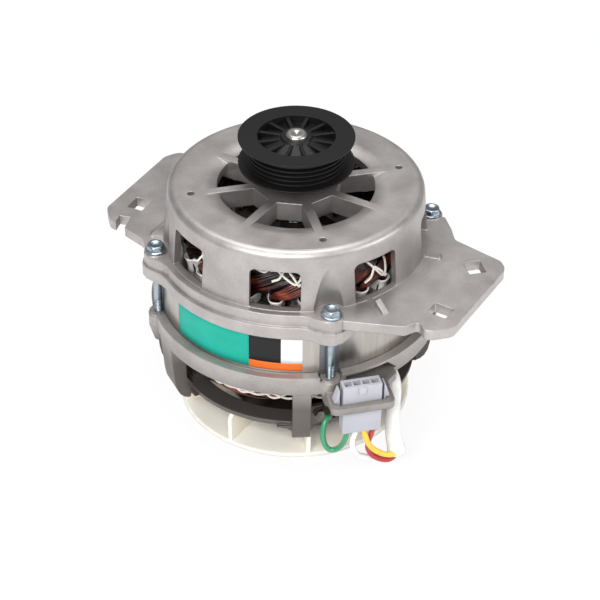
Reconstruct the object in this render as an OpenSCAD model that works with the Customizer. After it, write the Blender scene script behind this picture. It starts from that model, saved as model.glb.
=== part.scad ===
// Belt-drive motor of a washing machine: two die-cast end brackets bolted over a
// laminated stator, with a grooved pulley above and a moulded cooling fan below.
// Heights run from the outer face of the drive bracket (z = 0), up towards the pulley.
// Directions round the shaft are counted in degrees from -Y, the connector side, towards +X.

/* [Bolt circles] */
// Distance from the outside of the stack of sheets to the middle of a through bolt
bolt_out = 2.2; // [2.1:0.1:4]
// Diameter of the circle of the four small holes in the drive bracket's face
face_circle = 99.8; // [96:0.1:102]
// Diameter of those small holes
face_hole_d = 3.3; // [2.5:0.1:5]

/* [Drive bracket] */
// How far the drum's foot stands in from the outside of the stack of sheets
drum_in = 2.3; // [2:0.1:3.4]
// How much smaller the drum's radius is just under its rounded top edge
drum_taper = 2.6; // [1:0.1:4]
// Radius of the rounded edge between the face and the drum
drum_edge_r = 4; // [2:0.5:6]
// Thickness of the drum's wall
drum_wall = 3.6; // [2.5:0.1:4]
// Thickness of the face outside its windows
face_t = 4; // [3:0.1:6]
// Depth from the face down to the top of the bolt flange
flange_drop = 29.4; // [27:0.1:33]
// Thickness of the flange's lower tier round the stack of sheets
seat_wall = 2; // [1.8:0.1:3.5]
// How far the flange's upper tier stands back from the lower tier
tier_step = 1.4; // [0.6:0.1:1.6]
// How far a bolt lobe reaches beyond the middle of its bolt
lobe_wall = 5.7; // [4.5:0.1:7.5]
// How much further out the lower tier's lobes reach
lobe_step = 1; // [0.5:0.1:2]
// Angle over which a lobe rises out of the flange, to each side of its bolt
lobe_half_angle = 12; // [10:0.5:15]
// Thickness of the lower tier, which holds the core
flange_lower_t = 6.2; // [5:0.1:8]
// Width of the wall windows
window_w = 23.4; // [18:0.2:26]
// Depth from the face to the top of the wall windows
window_top = 9.4; // [8:0.1:14]
// Corner radius at the top of the wall windows
window_corner = 3; // [1:0.5:5]
// Radius of the relief scooped out of the wall above each bolt, at the flange
flute_r = 8.5; // [7.5:0.1:9]
// Radius of that relief where it runs out of the wall
flute_top_r = 6.4; // [5.8:0.1:7]
// Depth from the face to where it runs out
flute_fade = 7; // [5:0.5:12]
// Radius of the raised seat under each bolt head
seat_r = 5.4; // [5:0.1:5.6]
// Height of that seat
seat_h = 0.4; // [0.2:0.1:1]

/* [Face windows] */
// Number of spokes, and of windows between them
spokes = 8; // [6:1:10]
// Width of a spoke
spoke_w = 4.4; // [3:0.1:6]
// Distance from the shaft to the flat sides of the hub
hub_flat = 20; // [19.6:0.1:22]
// Outer radius of the face windows, at their sharp lip
face_lip_r = 37; // [32:0.5:40]
// How deep that lip lies under the face
face_lip_drop = 2; // [0.5:0.1:3]
// Radius at which the face starts to dip towards the windows
face_dip_r = 44.5; // [41:0.5:46]
// Depth of the spokes and of the hub under the face
spoke_drop = 10; // [9:0.5:12]

/* [Ears] */
// Thickness of the mounting ears
ear_t = 5; // [4:0.1:6]
// Thickness of the flange's upper tier
tier_t = 6; // [4:0.1:7]
// Side of the square bolt holes
square_hole_w = 8.2; // [6.4:0.1:8.6]
// Length of the square holes along their play for belt tension
square_hole_l = 9.4; // [8.4:0.1:11]
// The wide ear's right hole: its middle, measured from the shaft along X and Y
wide_hole_right = [73.9, -47]; // [-100:0.1:100]
// The wide ear's front hole: its middle, measured from the shaft along X and Y
wide_hole_front = [48.3, -75]; // [-100:0.1:100]
// The narrow ear's hole: its middle, measured from the shaft along X and Y
narrow_hole = [-68.4, 41]; // [-100:0.1:100]
// Width of the open notch in the narrow ear
notch_w = 5.8; // [5:0.2:8]
// Corner radius of the ears
ear_corner = 6; // [3:0.5:8]

/* [Stator] */
// Outer radius of the stator's steel sheets
core_r = 65.3; // [64.6:0.1:65.4]
// Length of the stack of sheets
core_len = 29; // [26:0.5:34]
// How deep the stack sits in each bracket
core_seat = 4; // [3:0.5:5]
// Radius of the bore the rotor turns in
bore_r = 36; // [34:0.5:37]
// Number of slots
slots = 24; // [12:12:24]
// Width of a slot
slot_w = 6.2; // [5:0.1:7]
// Depth of the steel behind the slots
yoke = 11.3; // [9.5:0.1:13]
// Width of a slot's mouth
slot_mouth = 2.6; // [2:0.1:3]
// Depth of the flat grooves for the steel cleats
cleat_t = 1.2; // [0.8:0.1:1.4]
// Width of the cleats that hold the sheets together
cleat_w = 9; // [6:0.5:10]
// Thickness of the slot liners
liner_t = 0.5; // [0.4:0.05:0.7]
// How far the slot liners stand out of the stack
liner_proud = 3.4; // [2:0.2:5]

/* [Windings] */
// Distance from the bore to the inside of the end windings
bore_clear = 4; // [3.5:0.1:5]
// How far the upper end winding bulges out over the bottom of the slots
upper_bulge = 1; // [0:0.1:1.2]
// How far the lower end winding bulges out over the bottom of the slots
lower_bulge = 4; // [2:0.1:4.2]
// Height of the upper end winding
upper_winding_h = 23; // [19:0.5:24]
// Height of the lower end winding
lower_winding_h = 24; // [19:0.5:25]
// Diameter of the strand bundles wound round the outside
bundle_d = 2.1; // [1.8:0.1:2.3]
// Number of bundle turns on each end winding
bundle_turns = 12; // [8:1:12]
// Diameter of the lacing cord
lacing_d = 1.2; // [0.8:0.1:1.3]
// Number of stitches of lacing round an end winding
stitches = 18; // [12:1:24]

/* [Rotor] */
// Air gap between the rotor and the stator's teeth
air_gap = 0.4; // [0.3:0.05:0.6]
// Height of the cast rings at the rotor's ends
end_ring_h = 5; // [4:0.5:7]
// Number of fins on each end ring
fins = 12; // [8:1:16]
// Height of the fins
fin_h = 5; // [3:0.5:6]
// Radius of the shaft inside the rotor
shaft_core_r = 7.5; // [7:0.25:8.5]
// Radius of the shaft in its bearings
journal_r = 6; // [5.5:0.25:6.5]
// Radius of the shaft's two ends
shaft_end_r = 5; // [4:0.25:5.25]

/* [Bearings] */
// Outside radius of the ball bearings
bearing_r = 16; // [15:0.5:17]
// Width of the ball bearings
bearing_w = 10; // [9:0.5:11]
// Radius of a bearing's balls
ball_r = 2.98; // [2.6:0.02:3]
// Number of balls
balls = 7; // [6:1:8]
// Thickness of the wavy spring washer behind the rear bearing
wave_t = 0.5; // [0.4:0.05:0.8]
// Height of its waves
wave_h = 0.8; // [0.6:0.1:1.2]

/* [Pulley] */
// Radius of the pulley's two rims
pulley_r = 27; // [25.5:0.25:29]
// Height of the pulley's lower rim over the bracket's face
pulley_lift = 10.15; // [8:0.05:12]
// Distance from groove to groove, the size of a J section ribbed belt
groove_pitch = 2.34; // [2.34:0.01:2.36]
// Number of belt grooves
grooves = 5; // [4:1:6]
// Radius over the belt ribs
rib_r = 22.9; // [21.5:0.1:24]
// Depth of a groove
groove_d = 1.9; // [1.5:0.1:2.2]
// Thickness of each rim
rim_t = 1.23; // [1:0.01:2]
// Radius of the hollow in the pulley's top
hollow_r = 18; // [16:0.5:19]
// Number of stiffening webs in the hollow
pulley_webs = 12; // [8:1:16]
// Depth of the hollow at its rim
hollow_deep = 4; // [2.5:0.1:6]
// Depth of the hollow beside the hub
hollow_shallow = 1.2; // [0.8:0.1:2]
// How far the shaft stands out of the pulley
shaft_proud = 1.6; // [0.5:0.1:3]

/* [Fan] */
// Outer radius of the cooling fan
fan_r = 57.8; // [54:0.2:58]
// Number of fan blades
blades = 9; // [7:1:11]
// Height of the blades above the fan's disc
blade_h = 16; // [12:0.5:17]
// Thickness of a blade
blade_t = 2; // [1.6:0.1:3]
// Thickness of the fan's disc
fan_disc_t = 1.8; // [1.5:0.1:3]
// Gap between the blades and the rear bracket
fan_gap = 3.6; // [3:0.1:6]

/* [Rear bracket] */
// How far the rear bracket's ring reaches out from the stack of sheets
ring_wall = 4.7; // [4.2:0.1:6]
// Height of the ring
ring_h = 10; // [9:0.5:12]
// Depth of the rear bracket from the ring's lip to its closed end
rear_drop = 37; // [35:0.5:40]
// Outer radius of the closed end
rear_r = 59.2; // [58.5:0.1:60]
// Thickness of the closed end
rear_t = 2.6; // [2:0.1:4]
// How far the legs reach below the closed end
foot_drop = 5.6; // [4:0.1:9]
// Width of the narrow legs
leg_w = 8.6; // [6:0.2:10]
// Width of the wide legs
wide_leg_w = 13; // [10:0.5:14]
// How far a leg's foot flares to each side under the closed end
flare_w = 7; // [3:0.5:9]
// Radius of the threaded bosses for the through bolts
boss_r = 5; // [4.8:0.1:6]
// Depth from the lip to the top of a boss
boss_drop = 2.6; // [2:0.1:5]
// Length of a boss
boss_len = 15; // [12:0.1:16]
// Radius of the raised collar on a boss
collar_r = 4.6; // [3.6:0.1:4.8]
// Height of the collar
collar_h = 1.2; // [0.6:0.1:2]

/* [Bolts] */
// Diameter of the through bolts
bolt_d = 4; // [3.5:0.1:4.4]
// Size of their hexagon heads across the flats
head_af = 7; // [6.3:0.1:8]
// Height of the heads, with their washer face
head_h = 3.6; // [2.8:0.1:4.5]
// Radius of the washer face under a head
head_washer_r = 4.3; // [4.2:0.1:5]
// Thickness of that washer face
head_washer_t = 0.9; // [0.6:0.1:1.2]

/* [Connector] */
// Number of ways
ways = 4; // [2:1:4]
// Distance between the ways
way_pitch = 4.2; // [4:0.1:4.4]
// Depth of the housing from back to front
housing_d = 6.2; // [5.4:0.1:6.6]
// Height of the housing
housing_h = 27; // [22:0.5:30]
// How far the housing stands above its holder
housing_rise = 9; // [6:0.5:12]
// Side of a cavity
cavity_w = 3.2; // [2.8:0.1:3.4]
// Distance from the outside of the rear bracket's ring to the housing's middle
housing_out = 8.6; // [8:0.1:10]
// Middle of the housing to the right of the front bolt
housing_x = 11.6; // [11:0.1:12.5]
// Thickness of the holder's frame
holder_t = 3.4; // [3:0.1:5]
// Width of the holder's bars
bar_w = 3.2; // [2.5:0.1:4]

/* [Leads] */
// Diameter of a lead over its insulation
lead_d = 2.7; // [2.2:0.1:2.8]
// Outer diameter of the sleeve round three of the leads
sleeve_d = 8.8; // [8:0.1:9.2]

/* [Fits] */
// Play between the stack of sheets and its seats
core_fit = 0.1; // [0.05:0.05:0.2]
// Play round a bolt in its clearance hole
bolt_fit = 0.25; // [0.15:0.05:0.4]
// Play between a bolt and its threaded boss
thread_fit = 0.03; // [0.02:0.01:0.05]
// Play of a bearing in its pocket and on its journal
bearing_fit = 0.01; // [0.005:0.005:0.02]
// Play of a ball between its races
ball_fit = 0.03; // [0.02:0.01:0.05]
// Play of the connector in its holder, and of small moulded parts
clip_fit = 0.3; // [0.2:0.05:0.5]

/* [Hidden] */
$fn = 96;
eps = 0.01;

// Heights of the main planes, from the drive bracket's face downwards.
z_flange = -flange_drop;
z_ear_end = z_flange - ear_t;
z_tier = z_flange - tier_t;
z_flange_end = z_tier - flange_lower_t;
z_core_top = z_flange_end + core_seat;
z_core_end = z_core_top - core_len;
z_lip = z_core_end + core_seat;
z_ring_end = z_lip - ring_h;
z_rear = z_lip - rear_drop;
z_foot = z_rear - foot_drop;
z_fan_top = z_rear - fan_gap;
z_disc_top = z_fan_top - blade_h;
z_fan_end = z_disc_top - fan_disc_t;
z_boss = z_lip - boss_drop;
z_boss_end = z_boss - boss_len;
z_pulley_top = pulley_lift + grooves * groove_pitch + 2 * rim_t;

// What fits round the stack of sheets takes its size from it.
bolt_r = core_r + bolt_out;
drum_base_r = core_r - drum_in;
drum_top_r = drum_base_r - drum_taper;
flange_lower_r = core_r + core_fit + seat_wall;
flange_r = flange_lower_r - tier_step;
lobe_r = bolt_r + lobe_wall;
ring_r = core_r + ring_wall;
slot_bottom_r = core_r - yoke;
winding_in_r = bore_r + bore_clear;
z_seat = z_flange + seat_h;
bolt_angles = [0, 90, 180, 270];
spoke_step = 360 / spokes;

// Turns what follows to a direction counted from -Y towards +X.
module at(az) {
    rotate([0, 0, az]) children();
}

// A copy at each through bolt, moved out to the bolt circle.
module at_bolts() {
    for (a = bolt_angles) {
        at(a) translate([0, -bolt_r, 0]) children();
    }
}

// A polygon's outline with each corner [x, y, radius] rounded by an arc.
arc_steps = 6;
function unit(v) = v / norm(v);
function corner_arc(a, b, c) =
    let (u = unit([a.x - b.x, a.y - b.y]), v = unit([c.x - b.x, c.y - b.y]))
    let (half = acos(u * v) / 2, back = b.z / tan(half), mid = unit(u + v))
    let (o = [b.x, b.y] + mid * b.z / sin(half))
    let (p = [b.x, b.y] + u * back, q = [b.x, b.y] + v * back)
    let (t0 = atan2(p.y - o.y, p.x - o.x), t1 = atan2(q.y - o.y, q.x - o.x))
    let (turn = t1 - t0 > 180 ? t1 - t0 - 360 : t1 - t0 < -180 ? t1 - t0 + 360 : t1 - t0)
    [for (i = [0 : arc_steps]) let (t = t0 + turn * i / arc_steps) o + b.z * [cos(t), sin(t)]];
function rounded(c) =
    let (n = len(c))
    [for (i = [0 : n - 1]) each c[i].z > 0
        ? corner_arc(c[(i + n - 1) % n], c[i], c[(i + 1) % n]) : [[c[i].x, c[i].y]]];

// A point at radius r in direction az.
function polar(r, az) = [r * sin(az), -r * cos(az)];

// The flange's outline: a circle that swells smoothly into a lobe at each bolt.
outline_step = 3;
function off_bolt(az) = abs(az - 90 * round(az / 90));
function lobe_rise(az) = off_bolt(az) < lobe_half_angle
    ? (1 + cos(180 * off_bolt(az) / lobe_half_angle)) / 2 : 0;
function lobed(r, tip) =
    [for (az = [0 : outline_step : 359]) polar(r + (tip - r) * lobe_rise(az), az)];

// The drum as a solid of revolution.
module drum_solid() {
    edge = [for (t = [90 : -15 : 0]) [drum_top_r, -drum_edge_r]
        + drum_edge_r * [cos(t) - 1, sin(t)]];
    rotate_extrude() polygon(concat([[0, 0]], edge, [[drum_base_r, z_flange - 1],
        [0, z_flange - 1]]));
}

// Walls that stand in behind the bolt reliefs, so that the drum is not cut through there.
pad_r = flute_r + drum_wall - 1.2;
module relief_pads() {
    translate([0, 0, z_tier]) at_bolts() cylinder(r = pad_r, h = -z_tier);
}

// The space inside the drive bracket, down to the seat of the core.
hub_boss_r = bearing_r + 3.6;
pocket_top = 3.2;
pocket_end = pocket_top + bearing_w + 1;
module drum_cavity() {
    difference() {
        rotate_extrude() polygon([[0, -spoke_drop], [face_lip_r - 2, -spoke_drop],
            [face_lip_r - 2, -face_lip_drop - face_t], [face_lip_r + 2, -face_lip_drop - face_t],
            [face_dip_r + 1, -face_t], [drum_top_r - drum_wall - 2, -face_t],
            [drum_top_r - drum_wall, -face_t - 2], [drum_base_r - drum_wall, z_flange],
            [drum_base_r - drum_wall, z_core_top - eps], [0, z_core_top - eps]]);
        relief_pads();
        for (k = [0 : spokes - 1]) {
            at(k * spoke_step) translate([-spoke_w / 2, -face_dip_r - 2, -spoke_drop])
                cube([spoke_w, face_dip_r + 2, spoke_drop]);
        }
        translate([0, 0, -pocket_end]) cylinder(r = hub_boss_r, h = pocket_end);
    }
    translate([0, 0, z_flange_end - 1])
        cylinder(r = core_r + core_fit, h = z_core_top - z_flange_end + 1);
}

// The windows between the spokes. The face dips to them along an arc that ends in a sharp lip.
hub_corner_r = hub_flat / cos(180 / spokes);
dip_w = face_dip_r - face_lip_r;
dip_arc_r = (dip_w * dip_w + face_lip_drop * face_lip_drop) / (2 * face_lip_drop);
dip_steps = 6;
module face_windows() {
    dip = [for (i = [0 : dip_steps]) let (x = dip_w * i / dip_steps)
        [face_dip_r - x, sqrt(dip_arc_r * dip_arc_r - x * x) - dip_arc_r]];
    difference() {
        rotate_extrude() polygon(concat([[hub_flat - 6, 1], [face_dip_r, 1]], dip,
            [[face_lip_r, -spoke_drop - 1], [hub_flat - 6, -spoke_drop - 1]]));
        for (k = [0 : spokes - 1]) {
            at(k * spoke_step) translate([-spoke_w / 2, -face_dip_r - 5, -spoke_drop - 2])
                cube([spoke_w, face_dip_r + 5, spoke_drop + 4]);
        }
        rotate([0, 0, 90]) translate([0, 0, -spoke_drop - 2])
            cylinder(r = hub_corner_r, h = spoke_drop + 4, $fn = spokes);
    }
}

// One window through the drum's wall, round at its upper corners.
module wall_window() {
    rotate([90, 0, 0]) linear_extrude(drum_base_r + 6) polygon(rounded([
        [-window_w / 2, z_flange + 0.2, 0.8], [window_w / 2, z_flange + 0.2, 0.8],
        [window_w / 2, -window_top, window_corner], [-window_w / 2, -window_top, window_corner]]));
}

// Outlines of the ears. The wide ear lies between the front and right bolts, and the
// narrow one across from it.
wide_ear = [[0, -64, 0], [4, -72.6, 0], [14, -76.8, 4], [29.5, -83, 3], [36.8, -80.6, 2],
    [37, -87.4, 3], [41, -88.8, 3], [50.2, -88.6, ear_corner], [87.6, -51.2, ear_corner],
    [87.4, -45, 4], [72, -23.6, 4], [73.2, -14, 4], [73.2, -4, 0], [60, 0, 0]];
narrow_ear = [[0, 62, 0], [-4, 72.6, 0], [-30, 76.5, 8], [-41, 83.6, ear_corner],
    [-48.8, 81, ear_corner], [-84.4, 41.4, ear_corner], [-84.4, 31.4, 4], [-80.6, 26, 1],
    [-71.4, 10.6, 6], [-72, 4, 0], [-60, 0, 0]];

// A square bolt hole, longer the way the motor is pulled to tighten its belt.
module square_hole(middle, turn) {
    translate([middle.x, middle.y, z_ear_end - 1]) rotate([0, 0, turn])
        linear_extrude(ear_t + 2) polygon(rounded([
            [-square_hole_w / 2, -square_hole_l / 2, 0.6], [square_hole_w / 2, -square_hole_l / 2, 0.6],
            [square_hole_w / 2, square_hole_l / 2, 0.6], [-square_hole_w / 2, square_hole_l / 2, 0.6]]));
}

// The notch is open at the ear's edge and lies across its corner.
notch_end = [-76.8, 31.8];
notch_turn = 61;
module ear_notch() {
    translate([notch_end.x, notch_end.y, z_ear_end - 1]) rotate([0, 0, notch_turn])
        translate([-14, -notch_w / 2, 0]) cube([14, notch_w, ear_t + 2]);
}

// Small ribs that brace the drum against the ears: direction, inner and outer radius.
rib_t = 3;
ear_ribs = [[18.4, 62, 76], [59.6, 62, 71], [-101.6, 62, 69], [-150, 62, 70]];
module ear_rib(r_in, r_out) {
    rotate([90, 0, 90]) translate([0, 0, -rib_t / 2]) linear_extrude(rib_t)
        polygon([[-r_in, z_flange - 1], [-r_out, z_flange - 1], [-r_out, z_flange + 0.6],
            [-r_in, z_flange + 8]]);
}

// A conical relief above each bolt, round the raised seat of its head.
flute_foot = 2.5;
module bolt_reliefs() {
    difference() {
        union() {
            translate([0, 0, z_flange]) at_bolts() cylinder(r = flute_r, h = flute_foot + eps);
            translate([0, 0, z_flange + flute_foot]) at_bolts()
                cylinder(r1 = flute_r, r2 = flute_top_r, h = flange_drop - flute_fade - flute_foot);
        }
        translate([0, 0, z_flange]) at_bolts() cylinder(r = seat_r, h = seat_h);
    }
    translate([0, 0, -flute_fade - eps]) at_bolts() cylinder(r = flute_top_r, h = flute_fade + 1);
}

module drive_end_bracket() {
    color("#a39a96") difference() {
        union() {
            drum_solid();
            translate([0, 0, z_tier]) linear_extrude(tier_t) polygon(lobed(flange_r, lobe_r));
            translate([0, 0, z_flange_end]) linear_extrude(flange_lower_t + eps)
                polygon(lobed(flange_lower_r, lobe_r + lobe_step));
            translate([0, 0, z_ear_end]) linear_extrude(ear_t) polygon(rounded(wide_ear));
            translate([0, 0, z_ear_end]) linear_extrude(ear_t) polygon(rounded(narrow_ear));
            for (rib = ear_ribs) {
                at(rib[0]) ear_rib(rib[1], rib[2]);
            }
            translate([0, 0, z_flange - 1]) at_bolts() cylinder(r = seat_r, h = seat_h + 1);
        }
        drum_cavity();
        face_windows();
        for (k = [0 : spokes - 1]) {
            at((k + 0.5) * spoke_step) wall_window();
        }
        bolt_reliefs();
        translate([0, 0, z_flange_end - 1]) at_bolts()
            cylinder(d = bolt_d + 2 * bolt_fit, h = tier_t + flange_lower_t + 2);
        for (a = bolt_angles) {
            at(a) translate([0, -face_circle / 2, -face_t - 1])
                cylinder(d = face_hole_d, h = face_t + 2);
        }
        square_hole(wide_hole_right, 0);
        square_hole(wide_hole_front, 45);
        square_hole(narrow_hole, -40);
        ear_notch();
        translate([0, 0, -pocket_end - 1])
            cylinder(r = bearing_r + bearing_fit, h = pocket_end + 1 - pocket_top);
        translate([0, 0, -pocket_top - 1]) cylinder(r = journal_r + 2, h = pocket_top + 2);
    }
}

// Rear bracket: directions and widths of the legs. The second half turn repeats the first.
legs = [[-78, wide_leg_w], [-11, leg_w], [78, leg_w], [102, wide_leg_w], [169, leg_w], [258, leg_w]];
rear_rim_t = 4.6;
rear_pocket_top = z_rear + bearing_w + 2.6;
module rear_ring() {
    rotate_extrude() polygon([[ring_r - 5, z_lip], [ring_r, z_lip], [ring_r - 0.6, z_ring_end],
        [core_r - 3.6, z_ring_end], [core_r - 3.6, z_core_end],
        [core_r - 3.5, z_core_end]]);
    rotate_extrude() polygon([[core_r - 3.6, z_core_end], [ring_r - 0.3, z_core_end],
        [ring_r - 0.6, z_ring_end], [core_r - 3.6, z_ring_end]]);
}

// A leg's shape from the side, from the ring in to the closed end and down to its foot.
leg_in = 4.2;
foot_t = 3;
module rear_leg(width) {
    rotate([90, 0, 90]) translate([0, 0, -width / 2]) linear_extrude(width) polygon([
        [-core_r + leg_in - 0.6, z_ring_end + 4], [-ring_r + 0.8, z_ring_end + 4],
        [-ring_r + 1.6, z_ring_end - 6], [-ring_r + 2.8, z_rear + 6],
        [-ring_r + 3.6, z_rear + 1.4], [-ring_r + 5.2, z_rear - 2.2],
        [-ring_r + 7.2, z_foot + 1.2], [-ring_r + 9.2, z_foot + 0.2], [-rear_r - 0.3, z_foot],
        [-rear_r + 1, z_rear], [-rear_r + rear_rim_t, z_rear],
        [-rear_r + rear_rim_t - 1, z_rear + rear_t], [-rear_r + 1.4, z_rear + rear_t],
        [-core_r + leg_in + 0.2, z_rear + 6.6], [-core_r + leg_in, z_ring_end - 8]]);
    // its foot runs out to both sides along the rim
    rotate([90, 0, 0]) translate([0, 0, rear_r - foot_t + 0.8]) linear_extrude(foot_t) polygon([
        [-width / 2 - flare_w, z_rear + 0.4], [width / 2 + flare_w, z_rear + 0.4],
        [width / 2 + flare_w, z_rear], [width / 2 + 0.3 * flare_w, z_rear - 1.2],
        [width / 2, z_rear - 2.8], [-width / 2, z_rear - 2.8],
        [-width / 2 - 0.3 * flare_w, z_rear - 1.2], [-width / 2 - flare_w, z_rear]]);
}

// The closed end: a rim, spokes under the legs, and the hub with the bearing pocket.
module rear_end_plate() {
    rotate_extrude() polygon([[rear_r - rear_rim_t - 4, z_rear], [rear_r, z_rear],
        [rear_r + 0.4, z_rear + rear_t], [rear_r - rear_rim_t - 4, z_rear + rear_t]]);
    for (leg = legs) {
        at(leg[0]) translate([-3.2, -rear_r + 3, z_rear]) cube([6.4, rear_r - 3, rear_t + 2]);
    }
    translate([0, 0, z_rear - 2]) cylinder(r = hub_boss_r, h = rear_pocket_top - z_rear + 2);
}

// A threaded boss with its collar. Its lower part tapers to the bolt's end.
boss_cone = 8;
module bolt_boss() {
    translate([0, -bolt_r, z_boss_end]) cylinder(r1 = bolt_d / 2 + 0.8, r2 = boss_r, h = boss_cone);
    translate([0, -bolt_r, z_boss_end + boss_cone - eps])
        cylinder(r = boss_r, h = boss_len - boss_cone + eps);
    translate([0, -bolt_r, z_boss - eps]) cylinder(r = collar_r, h = collar_h + eps);
}

// The frame that holds the connector, as an outline [x, y, corner radius] and its window.
housing_y = ring_r + housing_out;
housing_w = ways * way_pitch + 1.4;
latch_t = 1;
latch_gap = 1.4;
holder_in_w = housing_w + 2 * (latch_t + latch_gap) + 2 * clip_fit;
holder_x0 = housing_x - holder_in_w / 2 - bar_w;
holder_x1 = housing_x + holder_in_w / 2 + bar_w;
holder_front = -housing_y - housing_d / 2 - clip_fit - bar_w;
holder_back = -housing_y + housing_d / 2 + clip_fit;
z_holder = z_lip - 7.4;
module connector_holder() {
    translate([0, 0, z_holder - holder_t]) linear_extrude(holder_t) difference() {
        polygon(rounded([[holder_x0, -ring_r + 6, 0], [holder_x0, holder_front, 3],
            [holder_x1, holder_front, 3], [holder_x1, holder_back + 1, 2],
            [holder_x1 + 0.6, holder_back + 5.4, 2], [holder_x1 + 6.2, holder_back + 10.4, 1],
            concat(polar(ring_r - 4, 28.5), 0)]));
        polygon(rounded([[holder_x0 + bar_w, holder_front + bar_w, 1],
            [holder_x1 - bar_w, holder_front + bar_w, 1], [holder_x1 - bar_w, holder_back, 1],
            [holder_x0 + bar_w, holder_back, 1]]));
    }
    // webs that brace the frame from below
    for (x = [holder_x0 + 0.2, housing_x + 5.8]) {
        translate([x, 0, 0]) rotate([90, 0, 90]) linear_extrude(2.4) polygon([
            [-ring_r + 6, z_holder - 1], [holder_back + 0.2, z_holder - 1],
            [holder_back + 0.2, z_holder - holder_t], [-ring_r + 4, z_ring_end - 4],
            [-ring_r + 6, z_ring_end - 4]]);
    }
}

// The opening under the ring's lip, over the holder, that shows the leads' way in.
lip_t = 1.4;
module lead_opening() {
    at(16) rotate([90, 0, 0]) translate([0, 0, core_r - 5]) linear_extrude(ring_wall + 7) polygon([
        [-12.4, z_holder], [15.7, z_holder], [9.7, z_lip - lip_t], [-12.4, z_lip - lip_t]]);
}

// The tab on the closed end's rim that takes the earth screw.
earth_x = -2.2;
earth_z = z_rear + 7.8;
earth_tab_t = 2.2;
earth_tab_w = 10;
earth_tab_h = 12;
earth_face = -rear_r - 0.6;
screw_d = 3.5;
module earth_tab() {
    translate([earth_x - earth_tab_w / 2, earth_face, z_rear])
        cube([earth_tab_w, earth_tab_t, earth_tab_h]);
}

module rear_end_bracket() {
    color("#9c9490") difference() {
        union() {
            rear_ring();
            for (leg = legs) {
                at(leg[0]) rear_leg(leg[1]);
            }
            rear_end_plate();
            for (a = bolt_angles) {
                at(a) bolt_boss();
            }
            connector_holder();
            earth_tab();
        }
        translate([0, 0, z_core_end]) cylinder(r = core_r + core_fit, h = core_len);
        lead_opening();
        translate([0, 0, z_boss + collar_h]) at_bolts() cylinder(r = boss_r + 0.6, h = core_seat + 4);
        difference() {
            translate([0, 0, z_boss]) at_bolts() cylinder(r = boss_r + 0.6, h = core_seat + 4);
            translate([0, 0, z_boss]) at_bolts() cylinder(r = collar_r, h = collar_h);
        }
        translate([0, 0, z_boss_end - 1]) at_bolts()
            cylinder(d = bolt_d + 2 * thread_fit, h = boss_len + 8);
        translate([0, 0, z_rear]) cylinder(r = bearing_r + bearing_fit, h = bearing_w + 4);
        translate([0, 0, z_rear - 3]) cylinder(r = journal_r + 2, h = 8);
        translate([earth_x, earth_face - 1, earth_z]) rotate([-90, 0, 0])
            cylinder(d = screw_d + 2 * thread_fit, h = 6);
    }
}

// One slot, opened to the bore by a narrower mouth.
module slot_space(z, h) {
    translate([-slot_w / 2, -slot_bottom_r, z]) cube([slot_w, slot_bottom_r - bore_r - 2, h]);
    translate([-slot_mouth / 2, -bore_r - 3, z]) cube([slot_mouth, 6, h]);
}

module stator_core() {
    color("#56565a") difference() {
        translate([0, 0, z_core_end]) cylinder(r = core_r, h = core_len);
        translate([0, 0, z_core_end - 1]) cylinder(r = bore_r, h = core_len + 2);
        for (k = [0 : slots - 1]) {
            at((k + 0.5) * 360 / slots) slot_space(z_core_end - 1, core_len + 2);
        }
        for (a = bolt_angles) {
            at(a) translate([-cleat_w / 2 - core_fit, -core_r - 1, z_core_end - 1])
                cube([cleat_w + 2 * core_fit, 1 + cleat_t + core_fit, core_len + 2]);
        }
    }
}

// Steel strips in the grooves of the stack, bent over its ends.
module core_cleats() {
    color("#8b8d91") for (a = bolt_angles) {
        at(a) translate([-cleat_w / 2, -core_r, z_core_end])
            cube([cleat_w, cleat_t, core_len]);
    }
}

// A U of polyester film in each slot, standing out at both ends.
module slot_liners() {
    liner_h = core_len + 2 * liner_proud;
    out_w = slot_w - 0.1;
    depth = slot_bottom_r - bore_r - 2.6;
    color("#e9e6df") for (k = [0 : slots - 1]) {
        at((k + 0.5) * 360 / slots) translate([0, -slot_bottom_r + 0.05, z_core_end - liner_proud])
            linear_extrude(liner_h) polygon([[-out_w / 2, 0], [out_w / 2, 0], [out_w / 2, depth],
                [out_w / 2 - liner_t, depth], [out_w / 2 - liner_t, liner_t],
                [-out_w / 2 + liner_t, liner_t], [-out_w / 2 + liner_t, depth],
                [-out_w / 2, depth]]);
    }
}

// A tube swept through a list of points, as one closed solid with flat ends.
// The rings keep the sideways direction that they start with, as near as the path lets them.
function along(p, i, closed) = let (n = len(p))
    closed ? unit(p[(i + 1) % n] - p[(i + n - 1) % n])
    : unit(p[min(i + 1, n - 1)] - p[max(i - 1, 0)]);
function flat_side(t, s) = unit(s - t * (s * t));
function sides_from(p, i, s, closed) = i == len(p) ? []
    : let (t = along(p, i, closed), u = flat_side(t, s)) concat([u], sides_from(p, i + 1, u, closed));
module tube(p, d, sides, start, closed = false) {
    n = len(p);
    us = sides_from(p, 0, start, closed);
    pts = [for (i = [0 : n - 1]) let (t = along(p, i, closed), u = us[i], v = cross(t, u))
        for (k = [0 : sides - 1]) p[i] + d / 2 * (cos(360 * k / sides) * u + sin(360 * k / sides) * v)];
    last = closed ? n - 1 : n - 2;
    walls = [for (i = [0 : last]) for (k = [0 : sides - 1])
        let (a = i * sides + k, b = i * sides + (k + 1) % sides)
        let (c = ((i + 1) % n) * sides + (k + 1) % sides, e = ((i + 1) % n) * sides + k)
        each [[a, c, b], [a, e, c]]];
    caps = closed ? [] : [[for (k = [0 : sides - 1]) k],
        [for (k = [sides - 1 : -1 : 0]) (n - 1) * sides + k]];
    polyhedron(points = pts, faces = concat(walls, caps));
}

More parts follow.
